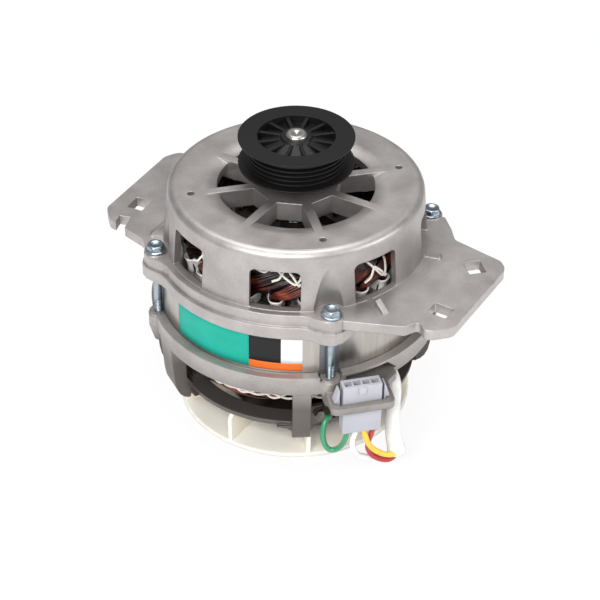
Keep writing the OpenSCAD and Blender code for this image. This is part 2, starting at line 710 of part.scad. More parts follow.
// The outline of an end winding's core in section, from its lower outer corner over the top
// to its lower inner corner. The bundles lie on this line, turn by turn.
loop_rings = 24;
function winding_line(h, w) = rounded([[w / 2, 0, 0], [w / 2 - 0.6, h * 0.5, 8], [w / 2 - 3, h, 3.4],
    [-w / 2 + 3, h, 3.4], [-w / 2, 0, 0]]);
function line_lengths(l) = [for (i = [0 : len(l) - 2]) norm(l[i + 1] - l[i])];
function total(v, i = 0) = i == len(v) ? 0 : v[i] + total(v, i + 1);
function on_line(l, s, i = 0) = i == len(l) - 2 || s <= norm(l[i + 1] - l[i])
    ? l[i] + (l[i + 1] - l[i]) * s / norm(l[i + 1] - l[i])
    : on_line(l, s - norm(l[i + 1] - l[i]), i + 1);
function winding_path(r, h, w, dir) = let (l = winding_line(h, w), long = total(line_lengths(l)))
    let (n = bundle_turns * loop_rings)
    [for (i = [0 : n]) let (q = on_line(l, long * i / n), az = 360 * i / loop_rings)
        [(r + q.x) * sin(az), -(r + q.x) * cos(az), dir * q.y]];

// Prints the least distance between neighbouring turns, less the bundle's thickness.
function turn_gaps(p) = [for (i = [0 : len(p) - 1 - loop_rings])
    min([for (j = [-1 : 1]) let (k = min(i + loop_rings + j, len(p) - 1)) norm(p[k] - p[i])])];

winding_clear = liner_proud + 1;
core_inset = 0.3;
upper_outer_r = slot_bottom_r + upper_bulge;
lower_outer_r = slot_bottom_r + lower_bulge;
module end_winding(outer_r, h, dir, name) {
    line_h = h - bundle_d / 2 - winding_clear;
    wide = outer_r - winding_in_r - bundle_d;
    mid = (outer_r + winding_in_r) / 2;
    path = winding_path(mid, line_h, wide, dir);
    echo(str(name, ": least gap between turns ", min(turn_gaps(path)) - bundle_d, " mm"));
    rotate([0, 0, 2]) rotate_extrude($fn = 72)
        polygon([for (q = winding_line(line_h - core_inset, wide - 2 * core_inset))
            [mid + q.x, dir * (q.y - core_inset)]]);
    tube(path, bundle_d, 6, [0, 0, 1]);
}

module upper_end_winding() {
    color("#b4552d") translate([0, 0, z_core_top + winding_clear])
        end_winding(upper_outer_r, upper_winding_h, 1, "upper end winding");
    color("#b4552d") slot_sides(z_core_top + eps, winding_clear);
}

module lower_end_winding() {
    color("#b4552d") translate([0, 0, z_core_end - winding_clear])
        end_winding(lower_outer_r, lower_winding_h, -1, "lower end winding");
    color("#b4552d") slot_sides(z_core_end - winding_clear - eps, winding_clear);
}

// The straight coil sides between an end winding and the slots.
coil_side_w = 4;
coil_side_in = winding_in_r + 2;
module slot_sides(z, h) {
    for (k = [0 : slots - 1]) {
        at((k + 0.5) * 360 / slots) translate([-coil_side_w / 2, -slot_bottom_r + 1, z - 0.4])
            cube([coil_side_w, slot_bottom_r - 1 - coil_side_in, h + 0.8]);
    }
}

// Lacing cord, stitched in zigzags over the outside of an end winding, which leans in above
// half its height.
function lean(q) = q < 0.5 ? 1.2 * q : 0.6 + 4.8 * (q - 0.5);
lacing_gap = 0.45;
module lacing(outer_r, h, z, dir) {
    n = stitches * 2;
    low = 0.1;
    high = 0.75;
    path = [for (i = [0 : n - 1]) let (q = i % 2 ? high : low)
        let (r = outer_r + lacing_d / 2 + lacing_gap - lean(q))
        [r * sin(360 * i / n), -r * cos(360 * i / n), z + dir * h * q]];
    tube(path, lacing_d, 6, [0, 0, 1], closed = true);
}

module upper_lacing() {
    color("#efebe2") lacing(upper_outer_r, upper_winding_h - winding_clear,
        z_core_top + winding_clear, 1);
}

module lower_lacing() {
    color("#efebe2") lacing(lower_outer_r, lower_winding_h - winding_clear,
        z_core_end - winding_clear, -1);
}

// A small sealed cut-out that lies against the inside of the lower end winding.
protector_r = 2.6;
protector_l = 12;
module thermal_protector() {
    color("#c9c4b4") at(140) translate([0, -winding_in_r + protector_r + clip_fit,
        z_core_end - winding_clear - 6]) rotate([0, 90, 0]) {
        translate([0, 0, -protector_l / 2]) cylinder(r = protector_r, h = protector_l);
        translate([0, 0, -protector_l / 2 - 2]) cylinder(r = 1.4, h = protector_l + 4);
    }
}

bolt_tip = z_boss_end + 1;
module through_bolts() {
    color("#9fb0b8") at_bolts() {
        translate([0, 0, bolt_tip]) cylinder(d = bolt_d, h = z_seat - bolt_tip + eps);
        translate([0, 0, z_seat]) cylinder(r = head_washer_r, h = head_washer_t);
        translate([0, 0, z_seat + head_washer_t - eps]) rotate([0, 0, 30])
            cylinder(r = head_af / 2 / cos(30), h = head_h - head_washer_t + eps, $fn = 6);
    }
}

// Ball bearings, drawn about their own middle.
race_r = (bearing_r + journal_r) / 2;
ring_t = (bearing_r - journal_r) / 2 - ball_r * 0.66;
bearing_z = [-pocket_top - bearing_w / 2, z_rear + wave_h + bearing_w / 2];
module outer_ring() {
    rotate_extrude() difference() {
        translate([bearing_r - ring_t, -bearing_w / 2]) square([ring_t, bearing_w]);
        translate([race_r, 0]) circle(r = ball_r + ball_fit, $fn = 48);
    }
}

module inner_ring() {
    rotate_extrude() difference() {
        translate([journal_r + bearing_fit, -bearing_w / 2]) square([ring_t - bearing_fit, bearing_w]);
        translate([race_r, 0]) circle(r = ball_r + ball_fit, $fn = 48);
    }
}

module ball_set() {
    for (k = [0 : balls - 1]) {
        at(k * 360 / balls) translate([0, -race_r, 0]) sphere(r = ball_r, $fn = 32);
    }
}

cage_t = 0.9;
cage_h = 2 * ball_r + 1.4;
module ball_cage() {
    difference() {
        translate([0, 0, -cage_h / 2]) cylinder(r = race_r + cage_t / 2, h = cage_h);
        translate([0, 0, -cage_h / 2 - 1]) cylinder(r = race_r - cage_t / 2, h = cage_h + 2);
        for (k = [0 : balls - 1]) {
            at(k * 360 / balls) translate([0, -race_r + 3, 0]) rotate([90, 0, 0])
                cylinder(r = ball_r + ball_fit, h = 6, $fn = 32);
        }
    }
}

shield_t = 0.4;
module shields() {
    for (s = [-1, 1]) {
        translate([0, 0, s * (bearing_w / 2 - 0.5) - shield_t / 2]) difference() {
            cylinder(r = bearing_r - ring_t, h = shield_t);
            translate([0, 0, -1]) cylinder(r = journal_r + ring_t + clip_fit, h = shield_t + 2);
        }
    }
}

module front_bearing_outer_ring() {
    color("#c8cacd") translate([0, 0, bearing_z[0]]) outer_ring();
}

module front_bearing_inner_ring() {
    color("#c8cacd") translate([0, 0, bearing_z[0]]) inner_ring();
}

module front_bearing_balls() {
    color("#dfe2e6") translate([0, 0, bearing_z[0]]) ball_set();
}

module front_bearing_cage() {
    color("#b9a16a") translate([0, 0, bearing_z[0]]) ball_cage();
}

module front_bearing_shields() {
    color("#aeb1b5") translate([0, 0, bearing_z[0]]) shields();
}

module rear_bearing_outer_ring() {
    color("#c8cacd") translate([0, 0, bearing_z[1]]) outer_ring();
}

module rear_bearing_inner_ring() {
    color("#c8cacd") translate([0, 0, bearing_z[1]]) inner_ring();
}

module rear_bearing_balls() {
    color("#dfe2e6") translate([0, 0, bearing_z[1]]) ball_set();
}

module rear_bearing_cage() {
    color("#b9a16a") translate([0, 0, bearing_z[1]]) ball_cage();
}

module rear_bearing_shields() {
    color("#aeb1b5") translate([0, 0, bearing_z[1]]) shields();
}

// Three waves of spring steel between the rear bearing and the floor of its pocket.
module wave_washer() {
    steps = 48;
    ro = bearing_r - 0.4;
    ri = bearing_r - 3;
    low = z_rear;
    function lift(k) = (wave_h - wave_t) * (1 + cos(3 * 360 * k / steps)) / 2;
    pts = [for (k = [0 : steps - 1]) let (a = 360 * k / steps, z = low + lift(k))
        each [[ri * cos(a), ri * sin(a), z], [ro * cos(a), ro * sin(a), z],
            [ro * cos(a), ro * sin(a), z + wave_t], [ri * cos(a), ri * sin(a), z + wave_t]]];
    quads = [for (k = [0 : steps - 1]) for (j = [0 : 3])
        let (a = 4 * k + j, b = 4 * k + (j + 1) % 4)
        let (c = 4 * ((k + 1) % steps) + (j + 1) % 4, d = 4 * ((k + 1) % steps) + j)
        each [[a, b, c], [a, c, d]]];
    color("#8f9296") polyhedron(points = pts, faces = quads);
}

// The shaft, stepped for the pulley, the two bearings, the rotor and the fan.
z_shaft_top = z_pulley_top + shaft_proud;
z_front_step = bearing_z[0] - bearing_w / 2;
z_front_seat = bearing_z[0] + bearing_w / 2;
z_rear_step = bearing_z[1] + bearing_w / 2;
z_rear_seat = bearing_z[1] - bearing_w / 2;
z_hub_end = z_disc_top + 1.4;
z_shaft_end = z_hub_end - 1.2;
shaft_chamfer = 1;
module shaft() {
    color("#c2c4c6") difference() {
        rotate_extrude() polygon([[0, z_shaft_end], [shaft_end_r - shaft_chamfer, z_shaft_end],
            [shaft_end_r, z_shaft_end + shaft_chamfer], [shaft_end_r, z_rear_seat - 1.2],
            [journal_r, z_rear_seat - 0.6], [journal_r, z_rear_step], [shaft_core_r, z_rear_step],
            [shaft_core_r, z_front_step], [journal_r, z_front_step],
            [journal_r, z_front_seat + 0.6], [shaft_end_r, z_front_seat + 1.2],
            [shaft_end_r, z_shaft_top - shaft_chamfer],
            [shaft_end_r - shaft_chamfer, z_shaft_top], [0, z_shaft_top]]);
        translate([0, 0, z_shaft_top - 1.6]) cylinder(r1 = 0.2, r2 = 1.8, h = 1.6 + eps);
    }
}

rotor_r = bore_r - air_gap;
module rotor_core() {
    color("#6b6c70") translate([0, 0, z_core_end]) difference() {
        cylinder(r = rotor_r, h = core_len);
        translate([0, 0, -1]) cylinder(r = shaft_core_r + bearing_fit, h = core_len + 2);
    }
}

// Cast end rings with short fins that stir the air inside the motor.
module end_ring(z, dir) {
    translate([0, 0, dir > 0 ? z : z - end_ring_h]) difference() {
        cylinder(r = rotor_r - 0.6, h = end_ring_h);
        translate([0, 0, -1]) cylinder(r = rotor_r - 12, h = end_ring_h + 2);
    }
    for (k = [0 : fins - 1]) {
        at(k * 360 / fins) translate([-0.9, -rotor_r + 2, dir > 0 ? z + end_ring_h - eps
            : z - end_ring_h - fin_h + eps]) cube([1.8, 8, fin_h]);
    }
}

module rotor_cage() {
    color("#c6c9cc") end_ring(z_core_top, 1);
    color("#c6c9cc") end_ring(z_core_end, -1);
}

// The pulley: two rims, the belt grooves between them, a webbed hollow and a hub.
hub_r = 7;
web_t = 1.6;
web_low = 0.9;
pulley_skirt = 6.4;
module pulley() {
    groove_start = pulley_lift + rim_t;
    grooved = [for (k = [0 : grooves - 1]) each [
        [rib_r, groove_start + (k + 0.12) * groove_pitch],
        [rib_r - groove_d, groove_start + (k + 0.42) * groove_pitch],
        [rib_r - groove_d, groove_start + (k + 0.58) * groove_pitch],
        [rib_r, groove_start + (k + 0.88) * groove_pitch]]];
    color("#1c1b1b") difference() {
        union() {
            rotate_extrude() polygon(concat([[shaft_end_r + bearing_fit, pulley_lift - pulley_skirt],
                [hub_r + 3.4, pulley_lift - pulley_skirt], [hub_r + 4.2, pulley_lift],
                [pulley_r, pulley_lift], [pulley_r, pulley_lift + 0.6 * rim_t],
                [rib_r, groove_start]], grooved, [[rib_r, z_pulley_top - rim_t],
                [pulley_r, z_pulley_top - 0.6 * rim_t], [pulley_r, z_pulley_top],
                [hollow_r, z_pulley_top], [hollow_r - 0.4, z_pulley_top - hollow_deep],
                [hub_r + 0.6, z_pulley_top - hollow_shallow], [hub_r, z_pulley_top],
                [shaft_end_r + bearing_fit, z_pulley_top]]));
            for (k = [0 : pulley_webs - 1]) {
                at(k * 360 / pulley_webs)
                    translate([-web_t / 2, -hollow_r - 0.5, z_pulley_top - hollow_deep - 1])
                        cube([web_t, hollow_r - hub_r + 1, hollow_deep + 1 - web_low]);
            }
        }
        translate([0, 0, -1]) cylinder(r = shaft_end_r + bearing_fit, h = z_pulley_top + 2);
    }
}

// The moulded fan: a disc with radial blades, and a hub on the shaft's lower end.
fan_hub_r = 10;
module cooling_fan() {
    dish = [[shaft_end_r, z_hub_end], [fan_hub_r + 2, z_hub_end], [fan_hub_r + 6, z_fan_end],
        [fan_r, z_fan_end], [fan_r, z_fan_end + 1], [fan_r - 0.8, z_disc_top],
        [fan_hub_r + 5, z_disc_top], [fan_hub_r, z_hub_end + fan_disc_t + 1],
        [fan_hub_r, z_fan_top - 2], [shaft_end_r, z_fan_top - 2]];
    color("#efe8dc") difference() {
        union() {
            rotate_extrude() polygon(dish);
            for (k = [0 : blades - 1]) {
                at(-47 + k * 360 / blades) rotate([90, 0, 90]) translate([0, 0, -blade_t / 2])
                    linear_extrude(blade_t) polygon([[-fan_r + 1, z_disc_top - 0.4],
                        [-fan_r + 0.6, z_fan_top - 3], [-fan_r + 3, z_fan_top],
                        [-34, z_fan_top], [-fan_hub_r - 4, z_fan_top - 7],
                        [-fan_hub_r + 1, z_fan_top - 9], [-fan_hub_r + 1, z_disc_top - 0.4]]);
            }
        }
        translate([0, 0, z_fan_end - 1]) cylinder(r = shaft_end_r + bearing_fit, h = 30);
    }
}

// A push-on spring clip under the fan's hub.
clip_t = 0.6;
module fan_clip() {
    color("#7c7f83") translate([0, 0, z_hub_end - clip_t]) difference() {
        cylinder(r = shaft_end_r + 3, h = clip_t);
        translate([0, 0, -1]) cylinder(r = shaft_end_r + bearing_fit, h = clip_t + 2);
        for (k = [0 : 5]) {
            at(k * 60) translate([-0.4, -shaft_end_r - 2, -1]) cube([0.8, 2.4, clip_t + 2]);
        }
    }
}

// The connector housing: a block with one cavity a way, two side latches and a key.
z_housing_top = z_holder + housing_rise;
z_housing_end = z_housing_top - housing_h;
latch_h = 7.5;
function way_x(k) = housing_x + (k - (ways - 1) / 2) * way_pitch;
module connector_housing() {
    x0 = housing_x - housing_w / 2;
    y0 = -housing_y - housing_d / 2;
    color("#c4c6d2") difference() {
        union() {
            translate([x0, y0, z_housing_end]) cube([housing_w, housing_d, housing_h]);
            translate([housing_x - 1.9, y0 - 0.8, z_housing_top - 4.2])
                cube([3.4, 0.9, 3.8]);
            for (s = [-1, 1]) {
                translate([housing_x, -housing_y + housing_d / 2 - 1, 0]) rotate([90, 0, 0])
                    linear_extrude(housing_d - 2) polygon([
                        [s * (housing_w / 2 - eps), z_holder - 8],
                        [s * (housing_w / 2 + latch_gap + latch_t), z_holder - 6],
                        [s * (housing_w / 2 + latch_gap + latch_t), z_holder + 0.1],
                        [s * (housing_w / 2 + latch_gap + latch_t + 1.6), z_holder + 0.5],
                        [s * (housing_w / 2 + latch_gap + 0.5), z_holder + latch_h],
                        [s * (housing_w / 2 + latch_gap), z_holder + latch_h],
                        [s * (housing_w / 2 + latch_gap), z_holder - 5],
                        [s * (housing_w / 2 - eps), z_holder - 6.4]]);
            }
        }
        for (k = [0 : ways - 1]) {
            translate([way_x(k) - cavity_w / 2, -housing_y - cavity_w / 2, z_housing_end - 1])
                cube([cavity_w, cavity_w, housing_h + 2]);
        }
    }
}

// Folded metal sockets, one in each cavity.
terminal_w = cavity_w - 0.3;
module connector_terminals() {
    color("#c9b98a") for (k = [0 : ways - 1]) {
        translate([way_x(k), -housing_y, z_housing_end + lead_stop]) difference() {
            translate([-terminal_w / 2, -terminal_w / 2, 0])
                cube([terminal_w, terminal_w, housing_h - lead_stop - 3]);
            translate([-terminal_w / 2 + 0.4, -terminal_w / 2 + 0.4, 3])
                cube([terminal_w - 0.8, terminal_w - 0.8, housing_h]);
        }
    }
}

// Where the leads end inside the housing.
lead_stop = 6;

// The ring terminal, clamped under the earth screw's head. Its tongue is bent outwards
// into a barrel, and it points down to one side.
ring_term_t = 0.8;
ring_term_r = 3.6;
barrel_r = 1.7;
barrel_l = 4.4;
barrel_drop = 4.2;
barrel_turn = -150;
module earth_ring_terminal() {
    color("#cfd2d6") translate([earth_x, earth_face, earth_z]) rotate([0, barrel_turn, 0])
        difference() {
            union() {
                rotate([90, 0, 0]) cylinder(r = ring_term_r, h = ring_term_t);
                translate([-1.4, -ring_term_t, -barrel_drop - ring_term_t / 2])
                    cube([2.8, ring_term_t, barrel_drop]);
                translate([-1.4, -3.8, -barrel_drop - ring_term_t / 2])
                    cube([2.8, 3.8, ring_term_t]);
                translate([0, -3.4, -barrel_drop]) rotate([90, 0, 0])
                    cylinder(r = barrel_r, h = barrel_l);
            }
            translate([0, 1, 0]) rotate([90, 0, 0]) cylinder(d = screw_d + 0.3, h = 4);
        }
}

module earth_screw() {
    color("#9fb0b8") translate([earth_x, earth_face - ring_term_t, earth_z]) rotate([-90, 0, 0]) {
        cylinder(d = screw_d, h = 4.4);
        translate([0, 0, -2.2]) cylinder(r = 3.3, h = 2.2, $fn = 6);
    }
}

// Lead routes, point by point, in millimetres. Each starts inside the connector. They are
// drawn for a ring of 70 mm radius, and move out or in with the ring.
way_y = -housing_y;
lead_top = z_housing_end + lead_stop;
function with_ring(route) = [for (q = route) [q.x, q.y + 70 - ring_r, q.z]];
earth_route = concat([[way_x(0), way_y, lead_top], [way_x(0), way_y, -89.4]], with_ring([
    [5, -78.2, -93.8], [3.8, -77.4, -98], [1.8, -76.6, -100.8], [-0.4, -75.8, -101.8],
    [-2.4, -75, -101.2], [-3.8, -74, -98.8], [-4.4, -73, -95.3], [-4, -72, -91.6],
    [-2.8, -70.6, -88.9], [-1.7, -69.6, -88.1], [-0.7, -68.7, -88.2]]));
white_route = concat([[way_x(1), way_y, lead_top], [way_x(1), way_y, -90]], with_ring([
    [8.4, -78.2, -95.5], [9.2, -77.2, -101], [10.8, -76, -105.6], [13.4, -74.6, -109.4],
    [18, -72.2, -113.4], [23.4, -70.2, -116.4], [28, -69.2, -117], [31.2, -69.2, -115.2]]));
yellow_route = concat([[way_x(2), way_y, lead_top], [way_x(2), way_y, -90]], with_ring([
    [14.7, -78.4, -94.2], [16.4, -78, -99.4], [19.2, -77.4, -104], [23.2, -76.6, -108],
    [27, -76, -111.8], [30.6, -75.6, -114.4], [34, -74, -114.8]]));
red_route = concat([[way_x(3), way_y, lead_top], [way_x(3), way_y, -89.4]], with_ring([
    [17.6, -77, -94.4], [17.1, -75, -99.8], [17.2, -74.6, -105.2], [19.2, -74.8, -109.6],
    [22.4, -74.8, -112.8], [26, -74, -114.8], [28.6, -73, -115.6], [30.4, -72.4, -115]]));

module earth_lead() {
    color("#3f9a6f") tube(earth_route, lead_d, 8, [1, 0, 0]);
}

module white_lead() {
    color("#f2f1ee") tube(white_route, lead_d, 8, [1, 0, 0]);
}

module yellow_lead() {
    color("#ffd84a") tube(yellow_route, lead_d, 8, [1, 0, 0]);
}

module red_lead() {
    color("#c0313a") tube(red_route, lead_d, 8, [1, 0, 0]);
}

// The clear sleeve that takes the three leads up into the motor.
sleeve_route = with_ring([[32.4, -72, -111.8], [31.2, -71.4, -107], [30.4, -70.6, -101],
    [30.3, -69.4, -95], [30.8, -67.8, -89.5], [31.8, -65.4, -84], [32.6, -62, -80],
    [32.6, -58, -77.8], [31.6, -54.6, -77.4]]);
module lead_sleeve() {
    color("#e4e2dc") tube(sleeve_route, sleeve_d, 12, [1, 0, 0]);
}

drive_end_bracket();
rear_end_bracket();
stator_core();
core_cleats();
slot_liners();
upper_end_winding();
lower_end_winding();
upper_lacing();
lower_lacing();
thermal_protector();
through_bolts();
front_bearing_outer_ring();
front_bearing_inner_ring();
front_bearing_balls();
front_bearing_cage();
front_bearing_shields();
rear_bearing_outer_ring();
rear_bearing_inner_ring();
rear_bearing_balls();
rear_bearing_cage();
rear_bearing_shields();
wave_washer();
shaft();
rotor_core();
rotor_cage();
pulley();
cooling_fan();
fan_clip();
connector_housing();
connector_terminals();
earth_ring_terminal();
earth_screw();
earth_lead();
white_lead();
yellow_lead();
red_lead();
lead_sleeve();
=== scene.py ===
import math

import bpy
import numpy as np
from bpy.props import FloatProperty, FloatVectorProperty, IntProperty, PointerProperty
from bpy.types import Operator, Panel, PropertyGroup
from mathutils import Matrix, Vector


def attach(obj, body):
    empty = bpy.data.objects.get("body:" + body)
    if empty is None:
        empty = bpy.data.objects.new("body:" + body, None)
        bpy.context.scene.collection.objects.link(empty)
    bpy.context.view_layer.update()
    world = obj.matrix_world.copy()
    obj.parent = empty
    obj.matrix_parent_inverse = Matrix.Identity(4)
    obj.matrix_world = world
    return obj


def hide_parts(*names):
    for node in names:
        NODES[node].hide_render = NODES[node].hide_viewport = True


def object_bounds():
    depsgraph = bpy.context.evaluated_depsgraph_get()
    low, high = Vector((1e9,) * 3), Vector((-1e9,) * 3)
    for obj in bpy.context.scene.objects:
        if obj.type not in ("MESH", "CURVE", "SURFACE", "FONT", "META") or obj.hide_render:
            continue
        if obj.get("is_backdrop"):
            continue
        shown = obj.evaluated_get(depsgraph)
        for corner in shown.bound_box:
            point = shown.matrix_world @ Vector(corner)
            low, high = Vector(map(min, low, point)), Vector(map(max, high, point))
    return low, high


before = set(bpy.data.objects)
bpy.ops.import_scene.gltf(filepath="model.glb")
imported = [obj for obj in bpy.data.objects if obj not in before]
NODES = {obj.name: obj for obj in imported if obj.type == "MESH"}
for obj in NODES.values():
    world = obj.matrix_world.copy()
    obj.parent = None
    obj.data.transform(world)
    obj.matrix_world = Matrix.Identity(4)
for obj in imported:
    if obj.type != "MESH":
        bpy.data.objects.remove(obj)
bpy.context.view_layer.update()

bl_info = {
    "name": "Washing machine motor",
    "version": (1, 0, 0),
    "blender": (4, 5, 0),
    "location": "View3D > Sidebar > Motor",
    "description": "Dresses a belt drive motor: castings, coils, leads, label and bolts",
    "category": "Object",
}

MM = 0.001
# The surfaces are worked out in millimetres, and piece() turns them into metres.
CORE_R, CORE_TOP, CORE_END = 65.3, -37.6, -66.6
BOLT_CIRCLE_R = 67.5


# -------------------- colours and nodes

NOISE, RAMP, BUMP = "ShaderNodeTexNoise", "ShaderNodeValToRGB", "ShaderNodeBump"
MATH, RANGE, MIX = "ShaderNodeMath", "ShaderNodeMapRange", "ShaderNodeMix"
SPLIT, JOIN, VECTOR = "ShaderNodeSeparateXYZ", "ShaderNodeCombineXYZ", "ShaderNodeVectorMath"
BEVEL, UV_MAP, RAY = "ShaderNodeBevel", "ShaderNodeUVMap", "ShaderNodeLightPath"
COLOUR, NORMAL = {"Color": "Base Color"}, {"Normal": "Normal"}


def tint(colour, share=1.0):
    """A share of a colour as linear red, green, blue and alpha. The colour is an sRGB hex code, or
    linear already."""
    if isinstance(colour, str):
        srgb = np.array([int(colour[i:i + 2], 16) for i in (1, 3, 5)]) / 255
        colour = np.where(srgb <= 0.04045, srgb / 12.92, ((srgb + 0.055) / 1.055) ** 2.4)
    return (*(share * float(c) for c in colour[:3]), 1.0)


def add(material, kind, settings=None, links=None, feeds=None):
    """Adds a shader node and gives its outputs. A setting is an input, by number or as "in:Name", the
    stops of a colour ramp, or an attribute. Links are the sockets that its inputs read, and feeds say
    which output goes to which input of the surface's shader, in place of what went there before."""
    tree = material.node_tree
    new = tree.nodes.new(kind)
    for key, value in (settings or {}).items():
        if isinstance(key, int):
            new.inputs[key].default_value = value
        elif key.startswith("in:"):
            new.inputs[key[3:]].default_value = value
        elif key == "stops":
            while len(new.color_ramp.elements) < len(value):
                new.color_ramp.elements.new(0.5)
            for element, (position, colour) in zip(new.color_ramp.elements, value):
                element.position, element.color = position, tint(colour)
        else:
            setattr(new, key, value)
    for key, socket in (links or {}).items():
        tree.links.new(socket, new.inputs[key])
    for key, name in (feeds or {}).items():
        tree.links.new(new.outputs[key], tree.nodes["Principled BSDF"].inputs[name])
    return new.outputs


def begin(name, **surface):
    """A new material and its Object coordinates, in metres. Constants go straight on the sockets of its
    shader. On these coordinates a noise of scale 1000 / s has grains about s mm across."""
    material = bpy.data.materials.new(name)
    material.use_nodes = True
    shader = material.node_tree.nodes["Principled BSDF"]
    for key, value in surface.items():
        shader.inputs[key.replace("_", " ")].default_value = value
    return material, add(material, "ShaderNodeTexCoord")["Object"]


def from_shaft(material, where):
    """How far a place is from the shaft's axis: the length of its X and Y."""
    parts = add(material, SPLIT, links={0: where})
    flat = add(material, JOIN, links={"X": parts["X"], "Y": parts["Y"]})[0]
    return add(material, VECTOR, {"operation": "LENGTH"}, {0: flat})["Value"]


# -------------------- materials

def die_cast_aluminium(name, light, dark, metal=0.85, painted_low_shade=None):
    """Die-cast aluminium, left as it came from the die: a satin skin, faintly mottled where the
    metal chilled, with rounded edges that catch the light. Given a last colour, painted shade darkens it
    towards the bottom: it comes in from a height of -65 mm and is full at -83 mm, on the legs and end
    plate."""
    material, where = begin(name, Metallic=metal, Roughness=0.44)
    here = {"Vector": where}
    clouds = {"in:Scale": 1000 / 14, "in:Detail": 4, "in:Roughness": 0.55}
    cloud = add(material, NOISE, clouds, here)["Fac"]
    specks = {"in:Scale": 1000 / 1.1, "in:Detail": 3, "in:Roughness": 0.6}
    fine = add(material, NOISE, specks, here)["Fac"]
    mottle = add(material, MATH, {"operation": "MULTIPLY_ADD", 1: 0.35}, {0: fine, 2: cloud})[0]
    shades = {"stops": [(0.45, dark), (0.85, light)]}
    unshaded = add(material, RAMP, shades, {0: mottle}, COLOUR)["Color"]
    # Painted shade: the last colour darkens the casting towards the bottom, from -65 mm to -83 mm.
    if painted_low_shade:
        height = add(material, SPLIT, links={0: where})["Z"]
        reach = {"in:From Min": -0.065, "in:From Max": -0.083}
        low = add(material, RANGE, reach, {"Value": height})[0]
        shaded_low = {"data_type": "RGBA", "in:B": tint(painted_low_shade)}
        add(material, MIX, shaded_low, {"Factor": low, 6: unshaded}, {2: "Base Color"})
    add(material, RANGE, {"in:To Min": 0.38, "in:To Max": 0.54}, {"Value": cloud}, {0: "Roughness"})
    soft = add(material, BEVEL, {"samples": 6, "in:Radius": 0.7 * MM})["Normal"]
    grains = {"in:Scale": 1000 / 0.8, "in:Detail": 4, "in:Roughness": 0.65}
    skin = add(material, NOISE, grains, here)["Fac"]
    depth = {"in:Strength": 0.8, "in:Distance": 0.05 * MM}
    add(material, BUMP, depth, {"Height": skin, "Normal": soft}, NORMAL)
    return material


def rolled_sheets(name, pitch_mm, light, dark):
    """Varnished electrical steel sheets, seen on edge: fine dark lines one above the other. Real
    sheets are 0.5 mm thick, and the lines are drawn a little coarser so that they show."""
    material, where = begin(name, Metallic=0.6, Roughness=0.45)
    height = add(material, SPLIT, links={0: where})["Z"]
    sheet = add(material, MATH, {"operation": "MULTIPLY", 1: 1000 / pitch_mm}, {0: height})[0]
    wave = add(material, MATH, {"operation": "PINGPONG", 1: 0.5}, {0: sheet})[0]
    cloud = add(material, NOISE, {"in:Scale": 1000 / 6, "in:Detail": 4}, {"Vector": where})["Fac"]
    both = add(material, MATH, {"operation": "MULTIPLY_ADD", 1: 0.7}, {0: wave, 2: cloud})[0]
    add(material, RAMP, {"stops": [(0.35, dark), (0.8, light)]}, {0: both}, COLOUR)
    add(material, BUMP, {"in:Distance": 0.12 * MM}, {"Height": wave}, NORMAL)
    return material


def ground_sheets(name):
    """A stack of electrical steel sheets, ground smooth round its outside: satin steel, in which the
    sheets run together, with faint streaks down it."""
    material, where = begin(name, Metallic=1.0, Roughness=0.3)
    stretched = add(material, "ShaderNodeMapping", {"in:Scale": (1.0, 1.0, 0.08)}, {"Vector": where})[0]
    streak = add(material, NOISE, {"in:Scale": 1000 / 2.5, "in:Detail": 3}, {"Vector": stretched})["Fac"]
    add(material, RAMP, {"stops": [(0.3, "#9b9691"), (0.7, "#aba6a1")]}, {0: streak}, COLOUR)
    add(material, RANGE, {"in:To Min": 0.27, "in:To Max": 0.33}, {"Value": streak}, {0: "Roughness"})
    add(material, BUMP, {"in:Strength": 0.4, "in:Distance": 0.01 * MM}, {"Height": streak}, NORMAL)
    return material


def turned_steel(name, colour, spin_mm=0.25, rough=0.24):
    """Turned or ground steel: bright, with fine rings round the shaft's axis."""
    material, where = begin(name, Metallic=1.0, Roughness=rough)
    height = add(material, SPLIT, links={0: where})["Z"]
    line = add(material, MATH, {"operation": "ADD"}, {0: from_shaft(material, where), 1: height})[0]
    lines = {"noise_dimensions": "1D", "in:Scale": 1000 / spin_mm}
    rings = add(material, NOISE, lines, {"W": line})["Fac"]
    add(material, RAMP, {"stops": [(0.3, tint(colour, 0.72)), (0.7, colour)]}, {0: rings}, COLOUR)
    add(material, BUMP, {"in:Strength": 0.6, "in:Distance": 0.02 * MM}, {"Height": rings}, NORMAL)
    return material


def zinc_plate(name, colour):
    """Bright zinc plate over steel: bluish, with small tarnish clouds."""
    material, where = begin(name, Metallic=1.0, Roughness=0.26)
    grains = {"in:Scale": 1000 / 2.4, "in:Detail": 4, "in:Roughness": 0.6}
    cloud = add(material, NOISE, grains, {"Vector": where})["Fac"]
    add(material, RAMP, {"stops": [(0.36, tint(colour, 0.78)), (0.58, colour)]}, {0: cloud}, COLOUR)
    add(material, RANGE, {"in:To Min": 0.24, "in:To Max": 0.36}, {"Value": cloud}, {0: "Roughness"})
    add(material, BUMP, {"in:Strength": 0.4, "in:Distance": 0.01 * MM}, {"Height": cloud}, NORMAL)
    return material


def moulded(name, colour, dark, rough=0.42, grain_mm=0.5, depth_mm=0.02, edge_mm=0.3, **more):
    """Injection moulded plastic: an even colour, slightly clouded by flow, with a fine spark
    texture and soft edges."""
    material, where = begin(name, Roughness=rough, **more)
    cloud = add(material, NOISE, {"in:Scale": 1000 / 18, "in:Detail": 3}, {"Vector": where})["Fac"]
    add(material, RAMP, {"stops": [(0.3, dark), (0.7, colour)]}, {0: cloud}, COLOUR)
    soft = add(material, BEVEL, {"samples": 6, "in:Radius": edge_mm * MM})["Normal"]
    spark = add(material, NOISE, {"in:Scale": 1000 / grain_mm}, {"Vector": where})["Fac"]
    depth = {"in:Strength": 0.7, "in:Distance": depth_mm * MM}
    add(material, BUMP, depth, {"Height": spark, "Normal": soft}, NORMAL)
    return material


